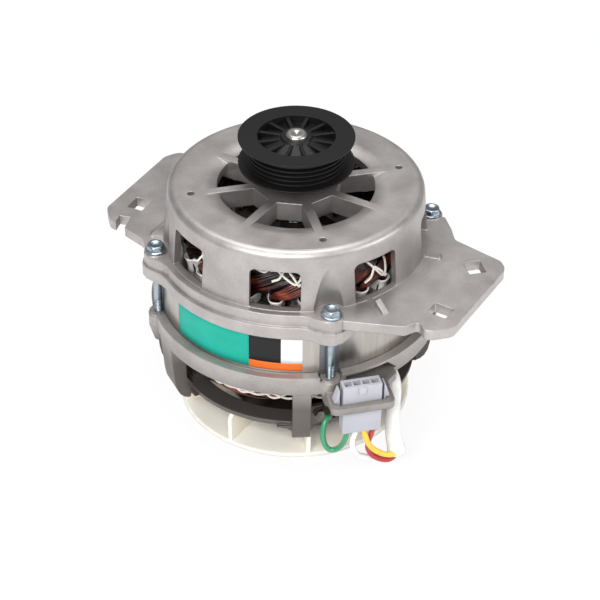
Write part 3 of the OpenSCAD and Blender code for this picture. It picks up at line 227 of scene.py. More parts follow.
def enamelled_copper(name):
    """Copper wire in dark amber enamel, dipped in varnish: glossy, red brown to salmon on the coils
    that stand proud. Within 53 mm of the axis it is painted nearly black, as painted shade on the deeper
    coils."""
    material, where = begin(name, Metallic=0.45, Roughness=0.3, Coat_Weight=0.6, Coat_Roughness=0.15)
    grains = {"in:Scale": 1000 / 8, "in:Detail": 3, "in:Roughness": 0.55}
    cloud = add(material, NOISE, grains, {"Vector": where})["Fac"]
    amber = [(0.36, "#2a0d08"), (0.52, "#5a2015"), (0.74, "#b4573f")]
    wire = add(material, RAMP, {"stops": amber}, {0: cloud})["Color"]
    # Painted shade: the coils that lie deeper, within 52.6 to 54 mm of the axis, are painted nearly
    # black.
    reach = {"in:From Min": 0.0526, "in:From Max": 0.054}
    proud = add(material, RANGE, reach, {"Value": from_shaft(material, where)})[0]
    deep_coil_shade = {"data_type": "RGBA", "in:A": tint("#140605")}
    add(material, MIX, deep_coil_shade, {"Factor": proud, 7: wire}, {2: "Base Color"})
    runs = add(material, NOISE, {"in:Scale": 1000 / 0.9}, {"Vector": where})["Fac"]
    add(material, BUMP, {"in:Distance": 0.05 * MM}, {"Height": runs}, NORMAL)
    return material


def varnish_in_shade(name):
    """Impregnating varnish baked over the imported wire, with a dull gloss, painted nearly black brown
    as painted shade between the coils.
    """
    material, where = begin(name, Roughness=0.4)
    cloud = add(material, NOISE, {"in:Scale": 1000 / 3, "in:Detail": 3}, {"Vector": where})["Fac"]
    add(material, RAMP, {"stops": [(0.3, "#0d0706"), (0.7, "#24110d")]}, {0: cloud}, COLOUR)
    return material


def folded_film(name):
    """Polyester film, cut and folded into cuffs: white, a little glossy, with soft creases."""
    material, where = begin(name, Roughness=0.38, Coat_Weight=0.2, Coat_Roughness=0.2)
    cloud = add(material, NOISE, {"in:Scale": 1000 / 6, "in:Detail": 3}, {"Vector": where})["Fac"]
    add(material, RAMP, {"stops": [(0.3, "#cfcac8"), (0.65, "#f0eeec")]}, {0: cloud}, COLOUR)
    creases = add(material, NOISE, {"in:Scale": 1000 / 3.5}, {"Vector": where})["Fac"]
    add(material, BUMP, {"in:Strength": 0.6, "in:Distance": 0.12 * MM}, {"Height": creases}, NORMAL)
    return material


def twisted_cotton(name):
    """Waxed cotton lacing cord, two strands twisted: white, with a slanting rib along its length."""
    material = begin(name, Roughness=0.75, Sheen_Weight=0.25)[0]
    parts = add(material, SPLIT, links={0: add(material, UV_MAP, {"uv_map": "along"})["UV"]})
    twist = {"operation": "MULTIPLY_ADD", 1: 2.0}
    slant = add(material, MATH, twist, {0: parts["Y"], 2: parts["X"]})[0]
    rib = add(material, MATH, {"operation": "PINGPONG", 1: 0.5}, {0: slant})[0]
    add(material, RAMP, {"stops": [(0.0, "#cfc9bd"), (0.5, "#f4f1ea")]}, {0: rib}, COLOUR)
    add(material, BUMP, {"in:Distance": 0.25 * MM}, {"Height": rib}, NORMAL)
    return material


def fan_plastic(name):
    """Cream polypropylene, soft and slightly translucent. Under the bracket's end plate its upper
    side is painted dark and less translucent, as painted shade from the plate: on the disc inside a
    radius of 31 mm, and 1.33 mm further out for each mm of height up the blades."""
    material, where = begin(name, Roughness=0.6, Specular_IOR_Level=0.2, Subsurface_Weight=0.6,
                            Subsurface_Scale=0.5, Subsurface_Radius=(0.011, 0.009, 0.007))
    cloud = add(material, NOISE, {"in:Scale": 1000 / 18, "in:Detail": 3}, {"Vector": where})["Fac"]
    unshaded = add(material, RAMP, {"stops": [(0.3, "#f5ead9"), (0.7, "#faf0e1")]}, {0: cloud})["Color"]
    height = add(material, SPLIT, links={0: where})["Z"]
    radius = from_shaft(material, where)
    # Painted shade: a cone under the end plate is painted dark brown and loses its translucency.
    cone = add(material, MATH, {"operation": "MULTIPLY_ADD", 1: -1.33}, {0: height, 2: radius})[0]
    shadow = {"in:From Min": 0.1915, "in:From Max": 0.1895}
    inside = add(material, RANGE, shadow, {"Value": cone})[0]
    upper_side = {"in:From Min": -0.1201, "in:From Max": -0.1196}
    above = add(material, RANGE, upper_side, {"Value": height})[0]
    plate_shade = add(material, MATH, {"operation": "MULTIPLY"}, {0: inside, 1: above})[0]
    plate_shade_mix = {"data_type": "RGBA", "in:B": tint("#3a302c")}
    add(material, MIX, plate_shade_mix, {"Factor": plate_shade, 6: unshaded}, {2: "Base Color"})
    opaque = {"operation": "MULTIPLY_ADD", 1: -0.6, 2: 0.6}
    add(material, MATH, opaque, {0: plate_shade}, {0: "Subsurface Weight"})
    satin = add(material, NOISE, {"in:Scale": 1000 / 0.8}, {"Vector": where})["Fac"]
    add(material, BUMP, {"in:Strength": 0.7, "in:Distance": 0.02 * MM}, {"Height": satin}, NORMAL)
    return material


def wire_insulation(name, colour, stripe=None):
    """Soft PVC insulation with a waxy gloss. The earth lead has one narrow stripe along it."""
    material, where = begin(name, Roughness=0.34, Coat_Weight=0.25, Coat_Roughness=0.3)
    cloud = add(material, NOISE, {"in:Scale": 1000 / 5, "in:Detail": 3}, {"Vector": where})["Fac"]
    shades = {"stops": [(0.3, tint(colour, 0.82)), (0.7, colour)]}
    plain = add(material, RAMP, shades, {0: cloud}, COLOUR)["Color"]
    if stripe:
        along = add(material, UV_MAP, {"uv_map": "along"})["UV"]
        round_it = add(material, SPLIT, links={0: along})["Y"]
        band = add(material, MATH, {"operation": "COMPARE", 1: 0.30, 2: 0.10}, {0: round_it})[0]
        striped = {"data_type": "RGBA", "in:B": tint(stripe)}
        add(material, MIX, striped, {"Factor": band, 6: plain}, {2: "Base Color"})
    waxy = add(material, NOISE, {"in:Scale": 1000 / 0.7}, {"Vector": where})["Fac"]
    add(material, BUMP, {"in:Strength": 0.5, "in:Distance": 0.02 * MM}, {"Height": waxy}, NORMAL)
    return material


def milky_sleeve(name):
    """Clear PVC sleeving, gone milky: light comes through, and the leads show inside its mouth."""
    material, where = begin(name, Roughness=0.35, Transmission_Weight=0.35, IOR=1.2, Coat_Weight=0.1)
    cloud = add(material, NOISE, {"in:Scale": 1000 / 4, "in:Detail": 3}, {"Vector": where})["Fac"]
    add(material, RAMP, {"stops": [(0.3, "#f4f3f0"), (0.7, "#ffffff")]}, {0: cloud}, COLOUR)
    kinks = add(material, NOISE, {"in:Scale": 1000 / 6}, {"Vector": where})["Fac"]
    add(material, BUMP, {"in:Strength": 0.6, "in:Distance": 0.15 * MM}, {"Height": kinks}, NORMAL)
    return material


def printed_foil(name, colour):
    """Printed polyester label film: flat ink under a satin coat, with a faint ripple."""
    material, where = begin(name, Roughness=0.5, Specular_IOR_Level=0.25)
    cloud = add(material, NOISE, {"in:Scale": 1000 / 9}, {"Vector": where})["Fac"]
    add(material, RAMP, {"stops": [(0.3, tint(colour, 0.88)), (0.7, colour)]}, {0: cloud}, COLOUR)
    ripple = add(material, NOISE, {"in:Scale": 1000 / 5}, {"Vector": where})["Fac"]
    add(material, BUMP, {"in:Strength": 0.5, "in:Distance": 0.05 * MM}, {"Height": ripple}, NORMAL)
    return material


# -------------------- surfaces

def piece(name, verts, faces, materials, uv=None, face_slots=None, body="frame"):
    """Makes a mesh object from arrays of points in millimetres and of four-cornered faces."""
    mesh = bpy.data.meshes.new(name)
    mesh.from_pydata((np.asarray(verts) * MM).tolist(), [], np.asarray(faces).tolist())
    if uv is not None:
        layer = mesh.uv_layers.new(name="along")
        index = np.zeros(len(mesh.loops), np.int32)
        mesh.loops.foreach_get("vertex_index", index)
        layer.data.foreach_set("uv", np.asarray(uv, np.float32)[index].ravel())
    for material in materials:
        mesh.materials.append(material)
    if face_slots is not None:
        mesh.polygons.foreach_set("material_index", np.asarray(face_slots, np.int32))
    mesh.polygons.foreach_set("use_smooth", np.full(len(mesh.polygons), True))
    mesh.update()
    made = bpy.data.objects.new(name, mesh)
    bpy.context.scene.collection.objects.link(made)
    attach(made, body)
    return made


def turned(points, angle):
    """Points turned round the Z axis by an angle in radians: x cos - y sin, x sin + y cos."""
    x = points[..., 0] * np.cos(angle) - points[..., 1] * np.sin(angle)
    y = points[..., 0] * np.sin(angle) + points[..., 1] * np.cos(angle)
    return np.stack([x, y, np.broadcast_to(points[..., 2], x.shape)], -1)


def unit(vectors):
    """The same directions with length 1."""
    return vectors / np.linalg.norm(vectors, axis=-1, keepdims=True)


def grid_faces(rows, cols, wrap_rows=False, wrap_cols=False, start=0):
    """Quads over a rows by cols grid of points, joined up at its ends where it wraps."""
    r = np.arange(rows if wrap_rows else rows - 1)
    c = np.arange(cols if wrap_cols else cols - 1)
    r, c = np.meshgrid(r, c, indexing="ij")
    r2, c2 = (r + 1) % rows, (c + 1) % cols
    corners = [r * cols + c, r * cols + c2, r2 * cols + c2, r2 * cols + c]
    return start + np.stack(corners, -1).reshape(-1, 4)


def tube(paths, radius, sides, outward):
    """Round tubes along many paths at once. Each ring is the path's point plus the radius times a
    circle in the two directions square to the path, the first of which is nearest to outward. The
    UV map counts lengths of 1.6 diameters along the path, and goes once from 0 to 1 round it."""
    paths = np.asarray(paths, float)
    along = unit(np.gradient(paths, axis=1))
    first = unit(outward - along * (outward * along).sum(-1, keepdims=True))
    second = np.cross(along, first)
    turn = 2 * np.pi * np.arange(sides) / sides
    points = paths[:, :, None] + radius * (np.cos(turn)[:, None] * first[:, :, None]
                                           + np.sin(turn)[:, None] * second[:, :, None])
    count, length = paths.shape[:2]
    one = grid_faces(length, sides, wrap_cols=True)
    faces = (one[None] + (np.arange(count) * length * sides)[:, None, None]).reshape(-1, 4)
    steps = np.linalg.norm(np.diff(paths, axis=1), axis=-1)
    travelled = np.concatenate([np.zeros((count, 1)), np.cumsum(steps, 1)], 1)
    u, v = travelled[:, :, None] / (2 * radius * 1.6), (turn / (2 * np.pi))[None, None]
    uv = np.stack(np.broadcast_arrays(u, v), -1)
    return points.reshape(-1, 3), faces, uv.reshape(-1, 2)


def smooth_path(points, count):
    """A Catmull-Rom curve through the points: each stretch is a cubic of its four nearest points."""
    p = np.asarray(points, float)
    p = np.vstack([2 * p[0] - p[1], p, 2 * p[-1] - p[-2]])
    t = np.linspace(0, len(p) - 3 - 1e-9, count)
    i = t.astype(int)
    t = (t - i)[:, None]
    a, b, c, d = p[i], p[i + 1], p[i + 2], p[i + 3]
    return 0.5 * (2 * b + (c - a) * t + (2 * a - 5 * b + 4 * c - d) * t ** 2
                  + (3 * b - a - 3 * c + d) * t ** 3)


def polar(r, az, z):
    """A point at radius r and height z, in the direction az counted from -Y towards +X."""
    az = np.radians(az)
    return np.stack(np.broadcast_arrays(r * np.sin(az), -r * np.cos(az), z), -1)


# -------------------- settings

class MotorSizes(PropertyGroup):
    """Sizes in millimetres, and a count"""
    strand_d: FloatProperty(
        name="Coil strand", description="Diameter of a strand in the end windings, in mm",
        default=0.95, min=0.5, max=1.4)
    strands: IntProperty(
        name="Strands in a coil", description="Strands side by side in each coil",
        default=8, min=3, max=10)
    lead_d: FloatProperty(
        name="Lead", description="Diameter of a lead over its insulation, in mm",
        default=2.7, min=2.0, max=2.8)
    lacing_d: FloatProperty(
        name="Lacing cord", description="Diameter of the lacing cord, in mm",
        default=1.1, min=0.8, max=1.6)
    label_proud: FloatProperty(
        name="Label", description="Height of the label over the core, in mm",
        default=0.15, min=0.05, max=0.4)


class MotorColours(PropertyGroup):
    """Main colours"""
    casting: FloatVectorProperty(
        name="Casting", description="Colour of the drive end bracket, where it is lightest",
        subtype="COLOR", size=4, default=tint("#b0aba9"), min=0, max=1)
    label: FloatVectorProperty(
        name="Label", description="Main colour of the label",
        subtype="COLOR", size=4, default=tint("#069c89"), min=0, max=1)


def sizes():
    """The sizes that the panel shows."""
    return bpy.context.scene.motor_sizes


# -------------------- stage

class MOTOR_OT_stage(Operator):
    """The camera, a pale floor and soft studio light"""
    bl_idname = "motor.stage"
    bl_label = "Stage"

    # The camera looks at TARGET, in mm, from a direction in degrees: round from -Y, up, and its roll.
    TARGET, DIRECTION, AWAY_MM = (1.957, -1.920, -68.67), (-14.2, 36.756, 0.579), 826.3
    LENS_MM, SENSOR_MM = 101.2, 36.0
    LIT_SPOT = (0, 0, -0.05)
    LAMPS = (  # name, place in metres, width in metres, power in watts
        ("key", (-0.6, -0.75, 0.7), 0.5, 12.0),
        ("front", (-0.2, -0.95, 0.8), 0.3, 4.0),
        ("fill", (0.9, -0.6, 0.5), 0.5, 6.0),
        ("top", (0.0, 0.15, 1.0), 0.8, 10.0),
    )

    def execute(self, context):
        scene = context.scene
        scene.view_settings.view_transform = "Standard"
        a, e, roll = map(math.radians, self.DIRECTION)
        back = np.array([math.sin(a) * math.cos(e), -math.cos(a) * math.cos(e), math.sin(e)])
        right = np.array([math.cos(a), math.sin(a), 0.0])
        up = np.cross(back, right)
        right, up = (right * math.cos(roll) + up * math.sin(roll),
                     up * math.cos(roll) - right * math.sin(roll))
        data = bpy.data.cameras.new("camera")
        data.lens, data.sensor_width, data.clip_start = self.LENS_MM, self.SENSOR_MM, 0.01
        camera = bpy.data.objects.new("camera", data)
        scene.collection.objects.link(camera)
        spot = (np.array(self.TARGET) + back * self.AWAY_MM) * MM
        camera.matrix_world = Matrix(np.vstack([np.stack([right, up, back, spot], 1), [0, 0, 0, 1]]))
        scene.camera = camera
        self.floor(scene)
        self.lights(scene)
        return {"FINISHED"}

    def floor(self, scene):
        """A matt floor under the part, 6 m wide. To the camera, and through the clear sleeve, it is
        nearly all plain white, and reflections take a tenth of that white."""
        low, half = float(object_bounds()[0][2]) / MM, 3000
        corners = [[-half, -half, low], [half, -half, low], [half, half, low], [-half, half, low]]
        mesh = bpy.data.meshes.new("floor")
        mesh.from_pydata((np.array(corners) * MM).tolist(), [], [[0, 1, 2, 3]])
        floor = bpy.data.objects.new("floor", mesh)
        scene.collection.objects.link(floor)
        floor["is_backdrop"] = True
        material, where = begin("pale studio floor", Roughness=0.9, Specular_IOR_Level=0.0)
        grey = add(material, NOISE, {"in:Scale": 1000 / 400, "in:Detail": 1}, {"Vector": where})["Fac"]
        add(material, RAMP, {"stops": [(0.0, "#ececec"), (1.0, "#f0f0f0")]}, {0: grey}, COLOUR)
        white = add(material, "ShaderNodeEmission", {"in:Strength": 1.0, "in:Color": (1, 1, 1, 1)})[0]
        ray = add(material, RAY)
        direct = {0: ray["Is Camera Ray"], 1: ray["Is Transmission Ray"]}
        seen = add(material, MATH, {"operation": "MAXIMUM"}, direct)[0]
        part = add(material, MATH, {"operation": "MULTIPLY", 1: 0.9}, {0: seen})[0]
        mirrored = {0: ray["Is Glossy Ray"], 2: part}
        part = add(material, MATH, {"operation": "MULTIPLY_ADD", 1: 0.1}, mirrored)[0]
        nodes = material.node_tree.nodes
        layers = {0: part, 1: nodes["Principled BSDF"].outputs[0], 2: white}
        mix = add(material, "ShaderNodeMixShader", links=layers)[0]
        material.node_tree.links.new(mix, nodes["Material Output"].inputs["Surface"])
        mesh.materials.append(material)

    def lights(self, scene):
        """Four square lamps turned to LIT_SPOT, in metres, and a sky that is white to the camera but
        lights the part with 0.3 of its strength."""
        world = bpy.data.worlds.new("studio")
        scene.world = world
        world.use_nodes = True
        sky = world.node_tree.nodes["Background"]
        sky.inputs["Color"].default_value = (0.98, 0.985, 1.0, 1)
        ray = add(world, RAY)
        direct = {0: ray["Is Camera Ray"], 1: ray["Is Transmission Ray"]}
        seen = add(world, MATH, {"operation": "MAXIMUM"}, direct)[0]
        level = add(world, RANGE, {"in:To Min": 0.3, "in:To Max": 1.0}, {"Value": seen})[0]
        world.node_tree.links.new(level, sky.inputs["Strength"])
        for name, spot, size, power in self.LAMPS:
            data = bpy.data.lights.new(name, "AREA")
            data.size, data.energy = size, power
            lamp = bpy.data.objects.new(name, data)
            scene.collection.objects.link(lamp)
            aim = Vector(self.LIT_SPOT) - Vector(spot)
            lamp.rotation_euler = aim.to_track_quat("-Z", "Y").to_euler()
            lamp.location = spot


# -------------------- leads

# Where the leads leave the connector: the places of its four ways along X, their Y, and the height.
WAY_X = (5.3, 9.5, 13.7, 17.9)
WAY_Y, LEAD_TOP = -78.6, -82.0
ROUTES = {
    "earth_lead": [
        [WAY_X[0], WAY_Y, LEAD_TOP], [WAY_X[0], WAY_Y, -89.4], [4.95, -78.2, -93.8],
        [3.7, -77.4, -98.1], [1.8, -76.6, -100.9], [-0.3, -75.8, -102], [-2.35, -75, -101.4],
        [-3.8, -74, -98.9], [-4.4, -73, -95.3], [-4, -72, -91.4], [-2.8, -70.6, -88.7],
        [-1.4, -69.2, -87.6], [-0.1, -68, -88.2]],
    "white_lead": [
        [WAY_X[1], WAY_Y, LEAD_TOP], [WAY_X[1], WAY_Y, -90], [8.4, -78.2, -95.5],
        [9.1, -77.4, -101], [10.7, -76.4, -105.3], [13.5, -75, -109], [18.3, -73.4, -112.2],
        [23.6, -71.8, -114.4], [28.4, -70.6, -115.2], [31.2, -70.2, -113.6], [31.6, -70.4, -110.4]],
    "yellow_lead": [
        [WAY_X[2], WAY_Y, LEAD_TOP], [WAY_X[2], WAY_Y, -90], [14.65, -78.4, -94.1],
        [16.3, -78, -99.3], [19.1, -77.4, -104], [23.1, -76.6, -108], [27, -75.9, -110.6],
        [30.2, -75, -111.3], [32.3, -74.1, -109.6], [32.2, -73.2, -106.4]],
    "red_lead": [
        [WAY_X[3], WAY_Y, LEAD_TOP], [WAY_X[3], WAY_Y, -89.4], [17.5, -77.4, -94.8],
        [17.05, -75.8, -99.8], [17.2, -75.2, -105], [19.1, -75.2, -109.3], [22.4, -75.2, -112.4],
        [26, -74.6, -114.6], [29.2, -73.4, -115.6], [31.8, -72.2, -114.6], [32.2, -71.8, -111.6]],
}
SLEEVE_ROUTE = [[32.5, -72.2, -112.6], [31.5, -71.7, -108], [30.6, -71.1, -103.1], [30.3, -70.1, -97.6],
                [30.5, -68.8, -92.7], [31.2, -66.8, -87.3], [32.1, -64, -82], [32.6, -60.4, -78.9],
                [32.4, -57, -77.6], [31.6, -54.6, -77.4]]
SLEEVE_R, SLEEVE_WALL, SLEEVE_SIDES = 3.45, 0.5, 40
# How far a lead in the sleeve lies from the sleeve's middle, along X and Y.
IN_SLEEVE = {"white_lead": (-1.35, 0.85), "yellow_lead": (0.2, -1.5), "red_lead": (1.35, 0.75)}
LEADS = {  # slot, colour, colour of the stripe
    "earth_lead": ("lead_green", "#1f8560", "#8a9a4a"),
    "white_lead": ("lead_white", "#f2f1ee", None),
    "yellow_lead": ("lead_yellow", "#f3c53a", None),
    "red_lead": ("lead_red", "#b0242e", None),
}


class MOTOR_OT_leads(Operator):
    """The four leads from the connector, and the sleeve that takes three of them into the motor"""
    bl_idname = "motor.leads"
    bl_label = "Leads and sleeve"

    def execute(self, context):
        d = sizes().lead_d
        sleeve = self.sleeve()
        for name, route in ROUTES.items():
            route = list(route)
            if name in IN_SLEEVE:
                dx, dy = IN_SLEEVE[name]
                route += [[x + dx, y + dy, z] for x, y, z in SLEEVE_ROUTE[2:6]]
            path = smooth_path(route, 9 * len(route))
            out = np.broadcast_to([0.0, -1.0, 0.25], path.shape)
            verts, faces, uv = tube(path[None], d / 2, 14, out[None])
            slot, colour, stripe = LEADS[name]
            insulation = wire_insulation("PVC " + name, colour, stripe)
            made = piece(name + "_insulation", verts, faces, [insulation], uv)
            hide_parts(name)
        return {"FINISHED"}

    def sleeve(self):
        """A tube along the sleeve's route, with an inner wall. Each ring is the route's point plus a
        circle in the two directions square to the route, whose radius is wider by an exponential at
        the mouth, grows by 0.3 mm along the way and waves by two sines."""
        path = smooth_path(SLEEVE_ROUTE, 60)
        along = unit(np.gradient(path, axis=0))
        side = unit(np.cross(along, [0.0, -1.0, 0.0]))
        face = np.cross(side, along)
        t = np.linspace(0, 1, len(path))[:, None]
        turn = 2 * np.pi * np.arange(SLEEVE_SIDES)[None] / SLEEVE_SIDES
        radius = SLEEVE_R + 1.1 * np.exp(-(t / 0.1) ** 1.5) + 0.3 * t
        radius = radius * (1 + 0.02 * np.sin(9 * t) + 0.015 * np.sin(2 * turn + 6 * t))
        outer, inner = (path[:, None] + ((radius - inset) * np.cos(turn))[..., None] * side[:, None]
                        + ((radius - inset) * np.sin(turn))[..., None] * face[:, None]
                        for inset in (0.0, SLEEVE_WALL))
        rings = np.concatenate([outer, inner[::-1]], 0)
        faces = grid_faces(len(rings), SLEEVE_SIDES, True, True)[:, ::-1]
        made = piece("milky_sleeve", rings.reshape(-1, 3), faces, [milky_sleeve("clear PVC sleeving")])
        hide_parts("lead_sleeve")
        return made


# -------------------- windings

SLOTS = 24
# Where the slots lie, in degrees counted as in polar(), with the first at 6.3.
SLOT_AZ = (np.arange(SLOTS) + 0.5) * 360 / SLOTS - 1.2
# Each end winding's outline in section, as radius and height over the end of the core, from the
# outer foot over the top to the inner foot.
OUTLINES = {
    "upper": [[51.6, -1], [52.2, 2.5], [53.2, 6], [54.1, 9.5], [54.5, 13], [53.9, 16.6], [52.2, 20],
              [49.4, 22], [46, 22.4], [43, 20.6], [41.4, 16], [41, 9], [42.2, 3], [43, -1]],
    "lower": [[51.8, -1], [52.6, 2.5], [54.6, 6], [56.6, 9.5], [57.4, 13.5], [56.9, 17.4], [54.4, 21],
              [50.6, 23], [46.4, 23.4], [43, 21.4], [41.4, 16.6], [41, 9], [42.2, 3], [43, -1]],
}


class MOTOR_OT_windings(Operator):
    """The two end windings: coils that rise out of their slot cuffs and lean over each other, and the
    cord that laces them"""
    bl_idname = "motor.windings"
    bl_label = "End windings"

    def execute(self, context):
        copper = enamelled_copper("enamelled copper wire")
        varnish = varnish_in_shade("varnish over copper in painted shade")
        cotton = twisted_cotton("waxed cotton cord")
        film = folded_film("folded polyester film")
        for end, base, rise in (("upper", CORE_TOP, 1), ("lower", CORE_END, -1)):
            self.coils(end, base, rise, copper)
            self.core(end, base, rise, varnish)
            self.lacing(end, base, rise, cotton)
            self.cuffs(end, base, rise, film)
        return {"FINISHED"}

    def section(self, end, t, grow):
        """The outline at shares t of its length, moved along its outward normal by grow: radius,
        height, the normal's two parts, and the length up to there."""
        line = smooth_path(OUTLINES[end], 400)
        ahead = unit(np.gradient(line, axis=0))
        length = np.concatenate([[0], np.cumsum(np.linalg.norm(np.diff(line, axis=0), axis=1))])
        at = t * length[-1]
        columns = line[:, 0], line[:, 1], ahead[:, 1], -ahead[:, 0]
        r, h, nr, nh = (np.interp(at, length, column) for column in columns)
        return r + grow * nr, h + grow * nh, nr, nh, at

    def coils(self, end, base, rise, copper):
        """Each coil stands straight for the first and last 8 mm of its length. Between, where free
        is 1, it leans over at 28 degrees to the core, and comes down further round. Every third one
        lies on the outside, and the others 1.8 and 2.6 mm deeper. Its strands lie side by side,
        square to its path, in two layers, and each sways by a sum of two sine waves."""
        s = sizes()
        straight, ease, run = 8, 4.5, 1.88  # mm, mm, and mm round for each mm of length
        rng = np.random.default_rng(7 if rise > 0 else 11)
        deep = np.choose(np.arange(SLOTS) % 3, [2.6, 0.0, 1.8])[:, None, None]
        steps = 44
        t = np.linspace(0.0, 1.0, steps)
        az0 = SLOT_AZ[:, None, None]
        made_paths, made_outs = [], []
        for layer, strands in ((0, s.strands), (1, s.strands - 1)):
            r, h, nr, nh, at = self.section(end, t, -s.strand_d * (0.55 + 0.8 * layer))
            free = (np.clip((at - straight) / ease, 0, 1)
                    * np.clip((at[-1] - straight - at) / ease, 0, 1))
            free = free * free * (3 - 2 * free)
            step = np.gradient(at) * free * run / r * 180 / np.pi
            lean = np.cumsum(step) - step[0]
            k = (np.arange(strands) - (strands - 1) / 2)[None, :, None]
            wander = rng.normal(0, 1, (SLOTS, strands, 4))
            bulge = 1.1 * (1 - (2 * k / strands) ** 2) + 0.35 * rng.normal(0, 1, (SLOTS, 1, 1))
            lift = (bulge - deep) * free + 0.3 * np.abs(wander[..., :1]) * free
            sway = free * (0.35 * wander[..., 1:2] * np.sin(2 * np.pi * t)
                           + 0.3 * wander[..., 2:3] * np.sin(5 * np.pi * t))
            az = az0 + lean + rng.normal(0, 0.6, (SLOTS, 1, 1)) * free
            path = polar(np.broadcast_to(r, az.shape), az, base + rise * np.broadcast_to(h, az.shape))
            along = unit(np.gradient(path, axis=2))
            out = polar(np.broadcast_to(nr, az.shape), az, rise * np.broadcast_to(nh, az.shape))
            side = unit(np.cross(along, out))
            pitch = s.strand_d * (0.76 + 0.04 * free)
            paths = path + side * (k * pitch + sway)[..., None] + out * lift[..., None]
            made_paths.append(paths.reshape(-1, steps, 3))
            made_outs.append(np.broadcast_to(out, paths.shape).reshape(-1, steps, 3))
        made_paths, made_outs = np.concatenate(made_paths), np.concatenate(made_outs)
        verts, faces, uv = tube(made_paths, s.strand_d / 2, 5, made_outs)
        made = piece(end + "_coils", verts, faces, [copper], uv)
        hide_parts(end + "_end_winding")

    def core(self, end, base, rise, varnish):
        """The varnished mass under the strands, nearly black as painted shade in the gaps between them:
        the outline drawn in by 4.6 mm, turned round the shaft and closed along its foot."""
        around, across = 144, 28
        # Painted shade: this mass is the dark seen in the gaps between the coils.
        r, h, *_ = self.section(end, np.linspace(0.1, 0.9, across), -4.6)
        ring = np.linspace(0, 360, around + 1)[:-1, None]
        points = polar(r[None], ring, base + rise * h[None])
        faces = grid_faces(around, across, True, True)
        faces = faces if rise < 0 else faces[:, ::-1]
        made = piece(end + "_varnish_and_shade_mass", points.reshape(-1, 3), faces, [varnish])

    def lacing(self, end, base, rise, cotton):
        """Lacing cord, as points (direction, share of the outline's length). On the upper winding
        there is a stitch a slot: a slant down the outside, a tight turn, up again and over the top.
        Every third one takes hold of an outer coil and reaches far down, with a second cord across
        it. On the lower winding two cords zigzag across each other under the bracket's ring."""
        slot = 360 / SLOTS
        number = np.arange(SLOTS)[:, None]
        rng = np.random.default_rng(5)
        cords = []
        if rise > 0:
            signed = np.where(number > 11, number - SLOTS, number)
            low = np.where(number % 3 == 2, 0.29 + 0.05 * np.cos(0.45 + 0.9 * (signed + 1)), 0.41)
            share = np.hstack([low, low + 0.03, *(np.full_like(low, up) for up in (0.42, 0.56, 0.44))])
            turns = number * slot + 1 + np.array([0.0, 2.2, 3.4, 4.6, 5.6])
            cords.append(self.ring_cord(turns, share + rng.normal(0, 0.004, share.shape)))
            for k in range(2, SLOTS, 3):
                cords.append((k * slot + 1 + np.array([-11, -7.6, -4.8, -0.5, 1.8, 2.4]),
                              low[k, 0] + np.array([0.02, 0.04, 0.12, 0.05, -0.01, 0.01])))
        else:
            for shift, low, high in ((0.0, 0.25, 0.335), (6.0, 0.27, 0.315)):
                turns = number * slot + 7.2 + shift + np.array([0.0, 8.5])
                turns = turns + rng.normal(0, 0.8, (SLOTS, 2))
                share = np.array([high, low]) + rng.normal(0, 0.006, (SLOTS, 2))
                cords.append(self.ring_cord(turns, share))
        d, proud, over = sizes().lacing_d, 1.55, 0.35  # mm over the outline, and over the first cord
        verts, faces, uvs, count = [], [], [], 0
        for layer, (az, share) in enumerate(cords):
            knots = np.arange(len(az))
            u = np.linspace(0, len(az) - 1, 9 * len(az))
            az, share = np.interp(u, knots, az), np.interp(u, knots, share)
            r, h, nr, nh, _ = self.section(end, share, proud + (over if layer else 0.0))
            path = polar(r, az, base + rise * h)
            for _ in range(3):
                path[1:-1] = (path[1:-1] + path[2:] + path[:-2]) / 3
            v, f, uv = tube(path[None], d / 2, 8, polar(nr, az, rise * nh)[None])
            verts.append(v)
            faces.append(f + count)
            uvs.append(uv)
            count += len(v)
        verts, faces, uvs = map(np.vstack, (verts, faces, uvs))
        made = piece(end + "_lacing_cord", verts, faces, [cotton], uvs)
        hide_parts(end + "_lacing")

    def ring_cord(self, turns, share):
        """One cord right round, which ends where it starts."""
        turns, share = np.asarray(turns).ravel(), np.asarray(share).ravel()
        return np.append(turns, turns[0] + 360), np.append(share, share[0])

    def cuffs(self, end, base, rise, film):
        """A cuff of film round the root of each coil: in plan a U, whose width is a power of the
        sine and whose reach a power of the cosine, that flares as it rises out of the slot. The
        film is 0.42 mm thick, and thins out to nothing at the ends of the U."""
        inner_r, outer_r, half_width = 41.5, 53.9, 2.95
        u = np.linspace(-1, 1, 27)
        h = np.array([-2.0, 0.2, 1.3, 2.4, 3.5, 4.6, 5.7, 6.8])[:, None]
        flare = np.clip((h - 0.5) / 6.3, 0, 1)
        flare = flare * flare * (1.6 - 0.6 * flare)
        angle = u * np.pi / 2
        walls = []
        for inset in (0.0, 0.42):
            thin = inset * (1 - np.abs(u) ** 9)
            half = half_width + 1.25 * flare - thin
            reach = outer_r + 1.5 * flare - inner_r - thin
            x = half * np.sign(u) * np.abs(np.sin(angle)) ** 0.72
            y = inner_r + reach * np.abs(np.cos(angle)) ** 0.42
            walls.append(np.stack(np.broadcast_arrays(x, -y, base + rise * h), -1))
        one = np.concatenate([walls[0], walls[1][::-1]], 0)
        points = turned(one, np.radians(SLOT_AZ)[:, None, None])
        quads = grid_faces(len(one), len(u), True, False)
        quads = quads if rise > 0 else quads[:, ::-1]
        faces = (quads[None] + (np.arange(SLOTS) * one.shape[0] * len(u))[:, None, None]).reshape(-1, 4)
        made = piece(end + "_slot_cuffs", points.reshape(-1, 3), faces, [film])
        if rise > 0:
            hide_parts("slot_liners")


# -------------------- shaft

